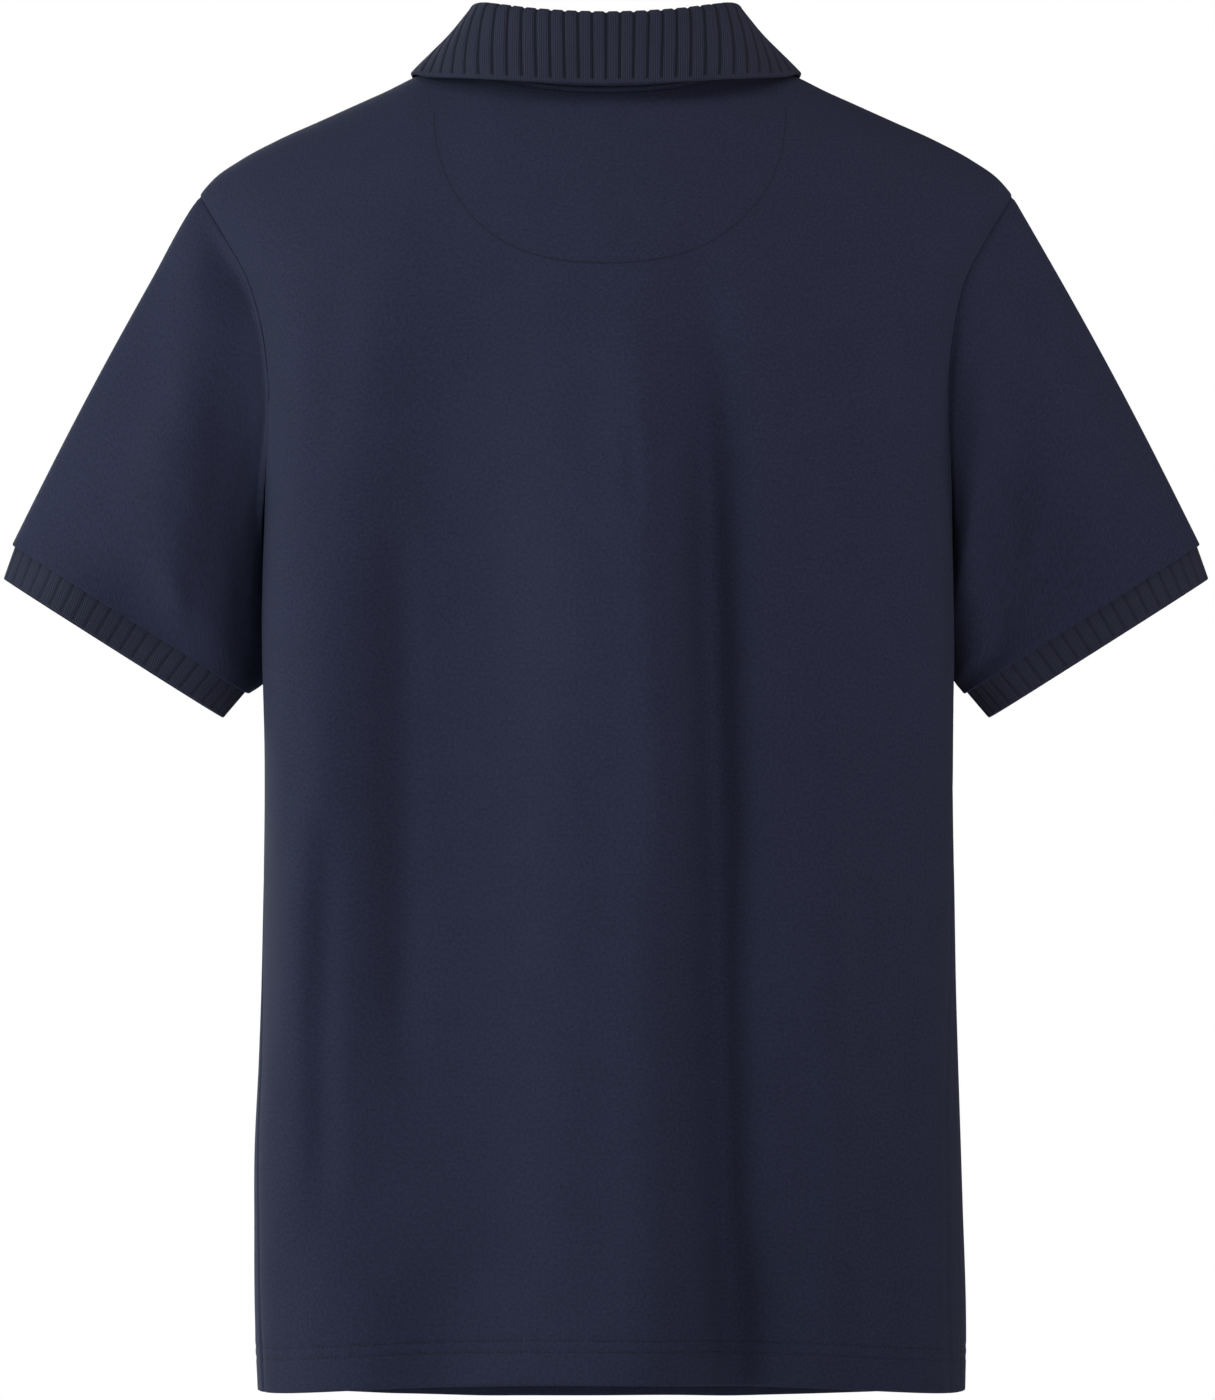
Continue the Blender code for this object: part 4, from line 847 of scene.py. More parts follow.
# %% [markdown]
# ## Sleeves
#
# A set-in sleeve is one flat piece, sewn into a tube and then into the armhole. Here it runs
# from the armhole's own line of points to an oval end, so the seam closes exactly. The sleeve
# hangs from the shoulder, a little fuller on top, and folds in at the body where the arm hangs
# down.

# %% Armhole loops
SLEEVE_END_OUTER, SLEEVE_END_INNER = (320.8 * MM, -256.5 * MM), (193.3 * MM, -337.0 * MM)
SLEEVE_END_HALF_DEPTH = 36.0 * MM
SLEEVE_SQUARE = 0.60             # how much squarer the inner half is than an oval
SLEEVE_FULLNESS_AT, SLEEVE_FULLNESS_WIDE = 62.0, 24.0           # degrees
SLEEVE_FULLNESS = {1: 5.0 * MM, -1: 1.0 * MM}
SLEEVE_TOP_PUFF, SLEEVE_TOP_WAY = 2.2 * MM, (0.88, 0.47)
SLEEVE_UNDERSIDE_SAG, SLEEVE_UNDERSIDE_WAY = {1: 4.5 * MM, -1: 1.5 * MM}, (-0.8, -0.6)
SLEEVE_STEP, UNDERARM_CLEARANCE = 0.8 * MM, 1.0 * MM
SLEEVE_SEAM_HOLDS = 0.04        # the armhole seam keeps this share of the length free of folds,
SLEEVE_CUFF_HOLDS = 0.72        # and the cuff flattens them from here to the end
SLEEVE_FOLD_COLUMNS = ("turn_start", "along_start", "turn_end", "along_end", "wide", "out")
SLEEVE_FOLDS = {                # degrees from the top over the back, share of the length, mm
    1: {
        "back_trough": (65, -0.20, 76, 0.78, 33, -12.0),
        "back_ridge": (15, -0.04, 76, 0.71, 19, 7.8),
        "back_crease": (98, -0.19, 115, 0.47, 17, -3.4),
        "cap_crease": (34, -0.18, 47, 0.59, 17, -5.7),
        "end_crease": (63, 0.63, 49, 1.11, 20, -5.6),
        "end_low_crease": (104, 0.63, 126, 1.01, 8, -1.9),
        "inner_ridge": (110, 0.39, 130, 1.19, 18, 4.3),
        "outer_fullness": (79, 0.12, 63, 1.08, 26, 7.2),
        "inner_trough": (116, -0.24, 148, 0.90, 13, -2.6),
        "lower_fullness": (73, 0.25, 124, 1.20, 20, 9.8),
        "front_trough": (262, 0.05, 285, 0.95, 18, -4.0),
        "front_crease": (246, -0.05, 250, 0.50, 8, -1.2),
    },
    -1: {
        "back_trough": (49, 0.15, 103, 0.69, 20, -5.8),
        "back_low_trough": (110, 0.21, 139, 1.25, 17, -9.1),
        "back_ridge": (83, 0.01, 73, 0.64, 9, 1.1),
        "cap_crease": (39, -0.02, 35, 0.47, 9, -1.0),
        "end_crease": (102, 0.67, 111, 1.05, 9, -1.0),
        "inner_ridge": (112, -0.01, 130, 1.02, 33, 6.5),
        "outer_fullness": (73, -0.09, 62, 0.96, 27, 6.8),
        "inner_trough": (86, 0.18, 113, 0.86, 13, -3.7),
        "lower_trough": (85, 0.53, 101, 1.18, 24, -7.7),
        "front_trough": (255, 0.05, 290, 1.00, 18, -4.5),
        "front_crease": (250, -0.05, 262, 0.60, 8, -1.3),
    },
}


def armhole_edge(side, hand):
    """One panel's armhole from the shoulder tip down: points, normals and the way off."""
    turn, z = armhole_row(side, np.concatenate([RISES[::-1], [0.0]]))
    turn = (math.pi - turn if hand < 0 else turn) * side
    points = body_surface(turn, z) + np.array([0.0, side * SEAM_GAP / 2, 0.0])
    normals = body_normal(turn, z)
    way = unit(np.gradient(points, axis=0))
    return points, normals, unit(np.cross(normals, way)) * (-side * hand)


def armhole_loop(hand):
    """Both edges as one loop, by the turn round the sleeve from the top over the back."""
    edges = [armhole_edge(1, hand), armhole_edge(-1, hand)]
    shares = [share_along(points) * math.pi for points, _, _ in edges]
    for end in (0, -1):
        for mine, other in zip(*edges):
            mine[end] = other[end] = (mine[end] + other[end]) / 2
    turns = np.concatenate([shares[0], TURN - shares[1][-2::-1]])
    return (turns,) + tuple(np.concatenate([a, b[-2::-1]]) for a, b in zip(*edges))


def read_loop(turns, table, turn):
    """The loop as a smooth closed curve."""
    wrapped = np.mod(turn, TURN)
    places = np.concatenate([turns[:-1] - TURN, turns, turns[1:] + TURN])
    return np.stack([smooth_curve(wrapped, places,
                                  np.concatenate([table[:-1, i], table[:, i], table[1:, i]]))
                     for i in range(3)], axis=-1)


def oval(outer, inner, half_depth, turn, hand):
    """A ring round the arm, squarer on its inner half and fuller behind the arm."""
    middle = (np.array(outer) + np.array(inner)) / 2
    half = (np.array(outer) - np.array(inner)) / 2
    squarer = 1.0 + SLEEVE_SQUARE * np.minimum(np.cos(turn), 0.0) ** 2
    away = (np.degrees(turn) - SLEEVE_FULLNESS_AT) / SLEEVE_FULLNESS_WIDE
    fuller = SLEEVE_FULLNESS[hand] * np.exp(-away ** 2)
    return stack(hand * (middle[0] + half[0] * np.cos(turn)),
                 half_depth * np.sin(turn) * squarer + fuller, middle[1] + half[1] * np.cos(turn))


# %% The sleeve's surface
class Sleeve:
    """The outer face, read by the turn round it and the share along it."""

    def __init__(self, hand):
        self.hand = hand
        self.turns, self.points, self.normals, self.off = armhole_loop(hand)

    def plain(self, turn, along):
        down, up = np.maximum(-np.cos(turn), 0.0), np.maximum(np.cos(turn), 0.0)
        lift = UNDERARM_CLEARANCE * down - SLEEVE_STEP * up
        start = read_loop(self.turns, self.points + self.off * SEAM_GAP, turn)
        start = start + read_loop(self.turns, self.normals, turn) * lift[..., None]
        end = oval(SLEEVE_END_OUTER, SLEEVE_END_INNER, SLEEVE_END_HALF_DEPTH, turn, self.hand)
        points = start + (end - start) * along[..., None]
        swell = np.sin(math.pi * np.clip(along, 0.0, 1.0))
        puff = SLEEVE_TOP_PUFF * up ** 2 * swell
        sag = SLEEVE_UNDERSIDE_SAG[self.hand] * down ** 4 * swell
        shift_x = self.hand * (puff * SLEEVE_TOP_WAY[0] + sag * SLEEVE_UNDERSIDE_WAY[0])
        shift_z = puff * SLEEVE_TOP_WAY[1] + sag * SLEEVE_UNDERSIDE_WAY[1]
        return points + stack(shift_x, np.zeros_like(shift_x), shift_z)

    def surface(self, turn, along):
        normals = -slope_normal(self.plain, turn, along) * self.hand
        height = np.zeros(np.broadcast(turn, along).shape)
        for row in SLEEVE_FOLDS[self.hand].values():
            fold = dict(zip(SLEEVE_FOLD_COLUMNS, row))
            share = (along - fold["along_start"]) / (fold["along_end"] - fold["along_start"])
            middle = fold["turn_start"] + (fold["turn_end"] - fold["turn_start"]) * share
            fade = ease(share, 0.0, FOLD_FADE) * ease(1.0 - share, 0.0, FOLD_FADE)
            away = (np.mod(turn, TURN) / DEG - middle) / fold["wide"]
            height = height + fold["out"] * MM * fade * np.exp(-away ** 2)
        height = height * ease(along, 0.0, SLEEVE_SEAM_HOLDS)
        height = height * (1.0 - ease(along, SLEEVE_CUFF_HOLDS, 1.0))
        return self.plain(turn, along) + normals * height[..., None]

    def normal(self, turn, along):
        return -slope_normal(self.surface, turn, along) * self.hand

    def rim_way(self, turn):
        """At the armhole, the way from the outer face to the inner one."""
        off = unit(read_loop(self.turns, self.off, turn))
        own = self.normal(turn, np.full_like(turn, 0.02))
        way = -unit(read_loop(self.turns, self.normals, turn) + own)
        back = np.minimum(np.sum(way * off, axis=-1, keepdims=True), 0.0)
        return unit(way - back * off)


# %% Both sleeves
SLEEVE_COLUMNS = 168
SLEEVE_ROWS = np.concatenate([[0.0, 0.003, 0.007, 0.012, 0.018], np.linspace(0.027, 0.975, 64),
                              [0.981, 0.986, 0.990, 0.9935, 0.996, 0.998, 1.0]])
HANDS = (("left", 1), ("right", -1))
for name, hand in HANDS:
    sleeve = Sleeve(hand)
    turn = np.linspace(0.0, TURN, SLEEVE_COLUMNS + 1)
    turns, alongs = np.meshgrid(turn, SLEEVE_ROWS)
    outer, normals = sleeve.surface(turns, alongs), sleeve.normal(turns, alongs)
    round_it, along_it = grid_lengths(outer)
    to_end = along_it[[-1]] - along_it
    relief = valley(along_it) * 0.8 - rounded(to_end) * 0.8
    outer = outer + normals * relief[..., None]
    inner = outer - normals * (CLOTH - 0.8 * rounded(to_end))[..., None]
    inner[0] = outer[0] + sleeve.rim_way(turn) * CLOTH
    flat = np.stack([round_it, along_it], axis=-1)
    pieces["sleeve_" + name] = wall("sleeve_%s_cloth" % name, outer[:, :-1], inner[:, :-1],
                                    flat, body_knit, closed=True)
    print("sleeve", name, "%.4f square metres" % cloth_area(outer))

# %% [markdown]
# ## Ribs, raised by a node tree
#
# The collar and the cuffs are flat-knit rib: flat ridges about six millimetres wide with narrow
# grooves between them. The ribs repeat, so a Geometry Nodes tree makes them. Each point of the
# plain strip carries three marks: how many ribs along the strip it lies, whether it is on a
# ribbed face, and which way that face looks. The tree pushes the points of each groove in.

# %% The rib tree
class Chain(Nodes):
    """A Geometry Nodes tree, filled with the same node method as a material."""

    def __init__(self, name, sizes):
        super().__init__(bpy.data.node_groups.new(name, "GeometryNodeTree"))
        sockets = [("Geometry", "Geometry"), *((size, "Float") for size in sizes),
                   ("Material", "Material"), ("Geometry", "Geometry")]
        for number, (socket, kind) in enumerate(sockets, start=1):
            self.tree.interface.new_socket(
                socket, in_out="OUTPUT" if number == len(sockets) else "INPUT",
                socket_type="NodeSocket" + kind)
        self.start = self.tree.nodes.new("NodeGroupInput")
        self.end = self.tree.nodes.new("NodeGroupOutput")

    def given(self, name):
        return Wire(self, self.start.outputs[name])

    def mark(self, name, kind="FLOAT"):
        return self.node("GeometryNodeInputNamedAttribute", {"data_type": kind}, {"Name": name})

    def close(self, geometry):
        """Every tree ends in Realize Instances and Set Material."""
        real = self.node("GeometryNodeRealizeInstances", {}, {"Geometry": geometry})
        done = self.node("GeometryNodeSetMaterial", {},
                         {"Geometry": real, "Material": self.given("Material")})
        self.tree.links.new(done.socket, self.end.inputs["Geometry"])


def run_tree(piece, chain, values):
    """Gives the piece the tree as a modifier, sets its inputs, and makes the result a mesh."""
    modifier = piece.modifiers.new(chain.tree.name, "NODES")
    modifier.node_group = chain.tree
    for item in chain.tree.interface.items_tree:
        if item.item_type == "SOCKET" and item.in_out == "INPUT" and item.name in values:
            modifier[item.identifier] = values[item.name]
    bpy.context.view_layer.update()
    ready = piece.evaluated_get(bpy.context.evaluated_depsgraph_get())
    mesh = bpy.data.meshes.new_from_object(ready)
    piece.modifiers.remove(modifier)
    mesh.name = piece.data.name
    piece.data = mesh
    return piece


ribs = Chain("press_rib_grooves", ("Groove depth", "Groove share", "Softness"))
place = ribs.mark("rib_place")
half, soft = ribs.given("Groove share") * 0.5, ribs.given("Softness")
in_groove = 1.0 - place.from_whole().between(half - soft, half + soft)
push = in_groove * ribs.mark("ribbed") * ribs.given("Groove depth") * -1.0
offset = ribs.node("ShaderNodeVectorMath", {"operation": "SCALE"},
                   {"Vector": ribs.mark("face_way", "FLOAT_VECTOR"), "Scale": push})
ribs.close(ribs.node("GeometryNodeSetPosition", {},
                     {"Geometry": ribs.given("Geometry"), "Offset": offset}))
print("rib tree:", len(ribs.tree.nodes), "nodes")

# %% [markdown]
# ## Cuffs
#
# Each cuff is a ring of rib, sewn inside the sleeve's end, so the sleeve's edge stands just
# proud of it. Its ribs run along the arm.

# %% Both cuffs
CUFF_OUTER, CUFF_INNER = (325.4 * MM, -275.0 * MM), (206.8 * MM, -350.0 * MM)
CUFF_HALF_DEPTH, CUFF_TILT = 33.5 * MM, 0.03
CUFF_TUCK, CUFF_CLEARANCE = 0.30, 0.35 * MM
CUFF_RIBS, COLUMNS_PER_RIB = 46, 10
RIB_KNIT, RIB_DEPTH = 2.0 * MM, 0.85 * MM
GROOVE_SHARE, GROOVE_SOFT = 0.22, 0.075
CUFF_PLAIN_EDGE = 1.6 * MM
CUFF_RIB_SHARE = 0.55           # its ribs are shallower, as it is stretched round the arm
CUFF_SAMPLES = 721              # round it, to place the ribs evenly
CUFF_ROWS = np.concatenate([np.linspace(-CUFF_TUCK, 0.9, 12), [0.93, 0.96, 0.98, 0.992, 1.0]])


def cuff_surface(hand, turn, along):
    clear = CLOTH + CUFF_CLEARANCE
    long_way = unit(np.array(SLEEVE_END_OUTER) - np.array(SLEEVE_END_INNER))
    start = oval(np.array(SLEEVE_END_OUTER) - long_way * clear,
                 np.array(SLEEVE_END_INNER) + long_way * clear,
                 SLEEVE_END_HALF_DEPTH - clear, turn, hand)
    end = oval(CUFF_OUTER, CUFF_INNER, CUFF_HALF_DEPTH, turn, hand)
    end = end + stack(0.0 * turn, 0.0 * turn, CUFF_TILT * end[..., 1])
    return start + (end - start) * along[..., None]


def rib_marks(outer, places, ribbed, normals):
    """The marks that the rib tree reads, for the outer points and then the inner ones."""
    count = outer.shape[0] * outer.shape[1]
    none = np.zeros(count)
    return {"rib_place": np.concatenate([places.ravel()] * 2),
            "ribbed": np.concatenate([ribbed.ravel(), none]),
            "face_way": np.concatenate([normals.reshape(-1, 3), np.zeros((count, 3))])}


def rib_faces(outer, normals, fall):
    """Both faces of a strip of rib; fall is how far its rounded edge lies back."""
    outer = outer - normals * (0.9 * fall)[..., None]
    return outer, outer - normals * (RIB_KNIT - 1.2 * fall)[..., None]


RIB_SIZES = {"Groove depth": RIB_DEPTH, "Groove share": GROOVE_SHARE, "Softness": GROOVE_SOFT,
             "Material": rib_knit}
for name, hand in HANDS:
    places = np.arange(CUFF_RIBS * COLUMNS_PER_RIB + 1) / COLUMNS_PER_RIB
    round_once = np.linspace(0.0, TURN, CUFF_SAMPLES)
    way_round = lengths_along(cuff_surface(hand, round_once, np.full(CUFF_SAMPLES, 0.5)))
    even_turns = np.interp(places / CUFF_RIBS * way_round[-1], way_round, round_once)
    turns, alongs = np.meshgrid(even_turns, CUFF_ROWS)
    outer = cuff_surface(hand, turns, alongs)
    normals = -slope_normal(partial(cuff_surface, hand), turns, alongs) * hand
    round_it, along_it = grid_lengths(outer)
    to_edge = along_it[[-1]] - along_it
    ribbed = CUFF_RIB_SHARE * ease(to_edge, 0.3 * CUFF_PLAIN_EDGE, CUFF_PLAIN_EDGE)
    outer, inner = rib_faces(outer, normals, rounded(to_edge))
    flat = np.stack([round_it, along_it], axis=-1)
    marks = rib_marks(outer[:, :-1], np.tile(places[:-1], (len(CUFF_ROWS), 1)),
                      ribbed[:, :-1], normals[:, :-1])
    piece = wall("cuff_%s_rib" % name, outer[:, :-1], inner[:, :-1], flat, rib_knit,
                 closed=True, marks=marks)
    pieces["cuff_" + name] = run_tree(piece, ribs, RIB_SIZES)
    print("cuff", name, "%.4f square metres" % cloth_area(outer))

# %% [markdown]
# ## Collar
#
# The collar is one knitted strip. It is sewn to the neckline, stands up round the neck, turns
# over, and its leaf falls outside, longer toward the two points in front. Three rails give its
# way: the seam, the fold and the leaf's free edge. Between them each column is two straight
# runs with a round turn of a few millimetres, as a knit folds, and the leaf bows a little.

# %% Collar rails and surface
FOLD_LINE = {                   # millimetres, from the middle of the back to the front end
    "x": (0.0, 20.0, 40.0, 57.0, 67.0, 69.5, 66.0, 54.0, 34.0, 7.0),
    "y": (46.0, 45.0, 41.0, 33.0, 20.0, 2.0, -20.0, -41.0, -56.5, -63.5),
    "z": (29.6, 30.2, 31.8, 34.2, 35.6, 34.0, 24.0, 4.0, -21.0, -44.0),
}
LEAF_EDGE = {
    "x": (0.0, 30.0, 56.0, 78.5, 96.5, 105.3, 103.5, 92.5, 72.0, 50.0),
    "y": (61.0, 59.5, 53.5, 42.0, 24.0, 4.0, -19.0, -44.0, -68.0, -93.0),
    "z": (-9.9, -9.0, -7.4, -5.8, -4.0, -1.6, -7.0, -31.0, -66.0, -103.0),
}
COLLAR_RIBS = 60
NECK_MIDDLE_Y = -8.0 * MM
COLLAR_TURN_RADIUS = 4.5 * MM
NECK_FRONT_GAP = 0.05
NECK_FRONT_TUCK, NECK_TUCK_TURN = 3.5 * MM, (0.35 * math.pi, 0.8 * math.pi)
LEAF_SPREAD = 0.26
LEAF_BOW, LEAF_BOW_AT, LEAF_BOW_WIDE, LEAF_BOW_BEHIND = 3.0 * MM, 0.42, 0.20, 0.25
LEAF_PLAIN_EDGE, LEAF_RIBS_RISE = 2.7 * MM, (0.75, 1.15)         # the rise in shares of the edge
END_RIBS_RISE = (1.5 * MM, 3.0 * MM)
COLLAR_END = 1.0 - 2e-3
SEAM_ALLOWANCE = 0.15           # of the stand's height, hidden inside the back neck
ALLOWANCE_ENDS = (0.45, 0.7)    # shares of the way to the front between which it runs out
RAIL_POINTS = 400


def rail(table):
    steps = np.arange(len(table["x"]), dtype=float)
    fine = np.linspace(0.0, steps[-1], RAIL_POINTS)
    points = np.stack([smooth_read(fine * MM, steps, table[axis]) * MM for axis in "xyz"], axis=-1)
    return points, share_along(points)


def neck_rail():
    """The collar's sewn edge, just inside and above the panels' neckline."""
    turn = np.linspace(0.0, math.pi - NECK_FRONT_GAP, RAIL_POINTS)
    x = NECK_HALF_WIDTH * np.sin(turn)
    sides = [body_surface(turn_at(side, x, neckline_height(side, x)), neckline_height(side, x))
             for side in (1, -1)]
    points = np.where((np.cos(turn) >= 0)[:, None], *sides)
    inward = unit(stack(-points[:, 0], -points[:, 1], np.zeros(len(x))))
    lift = 2.0 * SEAM_GAP - NECK_FRONT_TUCK * ease(turn, *NECK_TUCK_TURN)
    points = points + inward * (RIB_KNIT + SEAM_GAP) + stack(0.0 * turn, 0.0 * turn, lift)
    return points, share_along(points)


RAILS = {"neck": neck_rail(), "fold": rail(FOLD_LINE), "leaf": rail(LEAF_EDGE)}


def read_rail(name, across):
    """across runs from -1, the right front end, to 1, the left one."""
    points, shares = RAILS[name]
    share = np.abs(across)
    if name == "leaf":
        share = (1.0 - LEAF_SPREAD) * share + LEAF_SPREAD * share ** 2
    found = np.stack([np.interp(share, shares, points[:, i]) for i in range(3)], axis=-1)
    found[..., 0] = found[..., 0] * np.where(across < 0, -1.0, 1.0)
    return found


def collar_surface(across, down):
    """down: 0 at the neck seam, 1 and 2 where the turn begins and ends, 3 at the free edge."""
    fold = read_rail("fold", across)
    step = 1.0 - COLLAR_END
    way = unit(read_rail("fold", np.minimum(across + step, 1.0))
               - read_rail("fold", np.maximum(across - step, -1.0)))
    out = unit(stack(way[..., 1], -way[..., 0], 0.0 * across))
    from_middle = fold - np.array([0.0, NECK_MIDDLE_Y, 0.0])
    out = out * np.sign(np.sum(out * from_middle, axis=-1, keepdims=True))
    up = unit(np.cross(way, out))
    up = up * np.sign(up[..., 2:3])

    def local(point):
        return tuple(np.sum((point - fold) * axis, axis=-1) for axis in (out, up, way))

    radius = COLLAR_TURN_RADIUS
    neck_out, neck_up, neck_way = local(read_rail("neck", across))
    leaf_out, leaf_up, leaf_way = local(read_rail("leaf", across))
    neck_up, leaf_up = neck_up + radius, leaf_up + radius
    start = (np.arctan2(neck_up, neck_out)
             - np.arccos(radius / np.hypot(neck_out, neck_up))) % TURN
    end = np.arctan2(leaf_up, leaf_out) + np.arccos(radius / np.hypot(leaf_out, leaf_up))
    angle = start + (end - start) * np.clip(down - 1.0, 0.0, 1.0)
    on_turn = np.stack([radius * np.cos(angle), radius * np.sin(angle)], axis=-1)
    neck = np.stack([neck_out, neck_up], axis=-1)
    leaf = np.stack([leaf_out, leaf_up], axis=-1)
    stand_share = np.minimum(down, 1.0)
    leaf_share = np.clip(down - 2.0, 0.0, 1.0)
    flat = np.where((down < 1.0)[..., None], neck + (on_turn - neck) * stand_share[..., None],
                    on_turn + (leaf - on_turn) * leaf_share[..., None])
    at_side = np.exp(-((np.abs(across) - LEAF_BOW_AT) / LEAF_BOW_WIDE) ** 2)
    bow = LEAF_BOW * (LEAF_BOW_BEHIND + (1.0 - LEAF_BOW_BEHIND) * at_side)
    bow = bow * 4 * leaf_share * (1 - leaf_share)
    fall = unit(leaf - on_turn)
    flat = flat + np.stack([-fall[..., 1], fall[..., 0]], axis=-1) * bow[..., None]
    slide = neck_way * (1.0 - stand_share) + leaf_way * leaf_share
    return fold + out * flat[..., 0:1] + up * (flat[..., 1:2] - radius) + way * slide[..., None]


# %% The collar
COLLAR_DOWN = np.concatenate([np.linspace(-1.0, -0.25, 4), np.linspace(0.0, 0.95, 13),
                              np.linspace(1.0, 2.0, 15), np.linspace(2.05, 2.90, 20),
                              [2.915, 2.93, 2.945, 2.96, 2.972, 2.984, 2.993, 3.0]])
places = np.arange(COLLAR_RIBS * COLUMNS_PER_RIB + 1) / COLUMNS_PER_RIB
across = (places / COLLAR_RIBS * 2.0 - 1.0) * COLLAR_END
acrosses, downs = np.meshgrid(across, COLLAR_DOWN)
hidden = SEAM_ALLOWANCE * (1.0 - ease(np.abs(acrosses), *ALLOWANCE_ENDS))
downs = np.where(downs < 0, downs * np.maximum(hidden, 0.002), downs)
outer, normals = collar_surface(acrosses, downs), slope_normal(collar_surface, acrosses, downs)
round_it, along_it = grid_lengths(outer)
to_edge = along_it[[-1]] - along_it
to_end = np.minimum(round_it, round_it[:, [-1]] - round_it)
ribbed = ease(to_edge / LEAF_PLAIN_EDGE, *LEAF_RIBS_RISE) * ease(to_end, *END_RIBS_RISE)
outer, inner = rib_faces(outer, normals, rounded(np.minimum(to_edge, to_end)))
flat = np.stack([round_it - round_it[:, [len(across) // 2]], -along_it], axis=-1)
marks = rib_marks(outer, np.tile(places, (len(COLLAR_DOWN), 1)), ribbed, normals)
piece = wall("collar_rib", outer, inner, flat, rib_knit, marks=marks)
pieces["collar"] = run_tree(piece, ribs, RIB_SIZES)
print("collar %.4f square metres" % cloth_area(outer))

# %% [markdown]
# ## Placket bands and the patch inside the neck
#
# The placket is two folded bands over the slit of the front: the upper one, with buttonholes,
# lies on the cloth, and the under one, with the buttons, lies behind it. Inside the back of the
# neck a half-moon of the same cloth keeps the shirt in shape where it hangs on a peg.

# %% Bands with real buttonholes
PLACKET_HALF_WIDTH, PLACKET_BOTTOM = 17.0 * MM, -250.0 * MM
PLACKET_CLOTH, PLACKET_TOP_GAP = 1.6 * MM, 1.5 * MM
BUTTON_PLACES = (-98.0 * MM, -158.0 * MM, -218.0 * MM)
HOLE_HALF_WIDTH, HOLE_ABOVE, HOLE_BELOW = 0.55 * MM, 5.0 * MM, 8.5 * MM
BAND_FOLLOWS_NECK = 0.88        # from this share of its height the band bends to the neckline
INSIDE_GAP = 0.5 * MM           # between the cloth and what lies inside it
UNDER_LIFT = -CLOTH - INSIDE_GAP - PLACKET_CLOTH


def cloth_at(side, x, z):
    """Points and normals of the back (side 1) or the front (-1) at these places."""
    turn = turn_at(side, x, z)
    points = body_surface(turn, z) + np.array([0.0, side * SEAM_GAP / 2, 0.0])
    return points, body_normal(turn, z)


def band_grid(x, z_wanted):
    """Points of the front at these x, and heights cut off at the neckline."""
    x, z = np.meshgrid(x, z_wanted)
    top = neckline_height(-1, x) - PLACKET_TOP_GAP
    share = (z - PLACKET_BOTTOM) / (z_wanted[-1] - PLACKET_BOTTOM)
    z = z + (top - z_wanted[-1]) * ease(share, BAND_FOLLOWS_NECK, 1.0)
    return x, z


BAND_EDGE = np.array([0.0, 0.25, 0.7, 1.3, 1.9, 2.3, 3.0]) * MM
BAND_SIDE = np.concatenate([BAND_EDGE, np.array([5.0, 8.0, 11.0, 14.0, 15.8]) * MM])
BAND_ACROSS = np.concatenate([-PLACKET_HALF_WIDTH + BAND_SIDE, [-HOLE_HALF_WIDTH, HOLE_HALF_WIDTH],
                              PLACKET_HALF_WIDTH - BAND_SIDE[::-1]])
band_top = float(neckline_height(-1, 0.0)) - PLACKET_TOP_GAP
holes = [(z - HOLE_BELOW, z + HOLE_ABOVE) for z in BUTTON_PLACES]
band_rows = [PLACKET_BOTTOM + BAND_EDGE, band_top - BAND_EDGE, *holes,
             np.arange(PLACKET_BOTTOM + 6 * MM, band_top - 5 * MM, 3.5 * MM)]
band_rows = np.unique(np.round(np.concatenate(band_rows), 6))


def lay_band(name, lift, with_holes):
    x, z = band_grid(BAND_ACROSS, band_rows)
    points, normals = cloth_at(-1, x, z)
    across, along = grid_lengths(points)
    to_edge = np.minimum(np.minimum(across, across[:, [-1]] - across),
                         np.minimum(along, along[[-1]] - along))
    relief = groove(to_edge - 2.0 * MM) * 0.8
    fall = rounded(to_edge)
    outer = points + normals * (lift + PLACKET_CLOTH + relief - 0.9 * fall)[..., None]
    inner = points + normals * (lift + 0.5 * fall)[..., None]
    keep = None
    if with_holes:
        keep = np.ones((len(band_rows) - 1, len(BAND_ACROSS) - 1), dtype=bool)
        for low, high in holes:
            inside = (band_rows[:-1] > low - 1e-5) & (band_rows[1:] < high + 1e-5)
            keep[inside, len(BAND_SIDE)] = False
    flat = np.stack([across, along], axis=-1)
    print(name, "%.4f square metres" % cloth_area(outer))
    return wall(name, outer, inner, flat, body_knit, keep)


pieces["placket_upper"] = lay_band("placket_upper_cloth", SEAM_GAP, True)
pieces["placket_under"] = lay_band("placket_under_cloth", UNDER_LIFT, False)

# %% [markdown]
# The half-moon is sewn through the back, so its stitches show outside as a curved row of small
# ticks. The patch reaches a few millimetres past them.

# %% The half-moon patch
MOON_MIDDLE = (-2.0 * MM, -22.8 * MM)           # the level diameter's middle, across and up
MOON_HALF_WIDTH, MOON_DROP, MOON_POWER = 94.7 * MM, 84.6 * MM, 2.2
PATCH_PAST_STITCHES, PATCH_CLOTH, PATCH_TOP_GAP = 2.6 * MM, 1.2 * MM, 2.5 * MM


def moon_drop(x, grow):
    share = np.clip(np.abs(x - MOON_MIDDLE[0]) / (MOON_HALF_WIDTH + grow), 0.0, 1.0)
    return (MOON_DROP + grow) * (1.0 - share ** MOON_POWER) ** (1.0 / MOON_POWER)


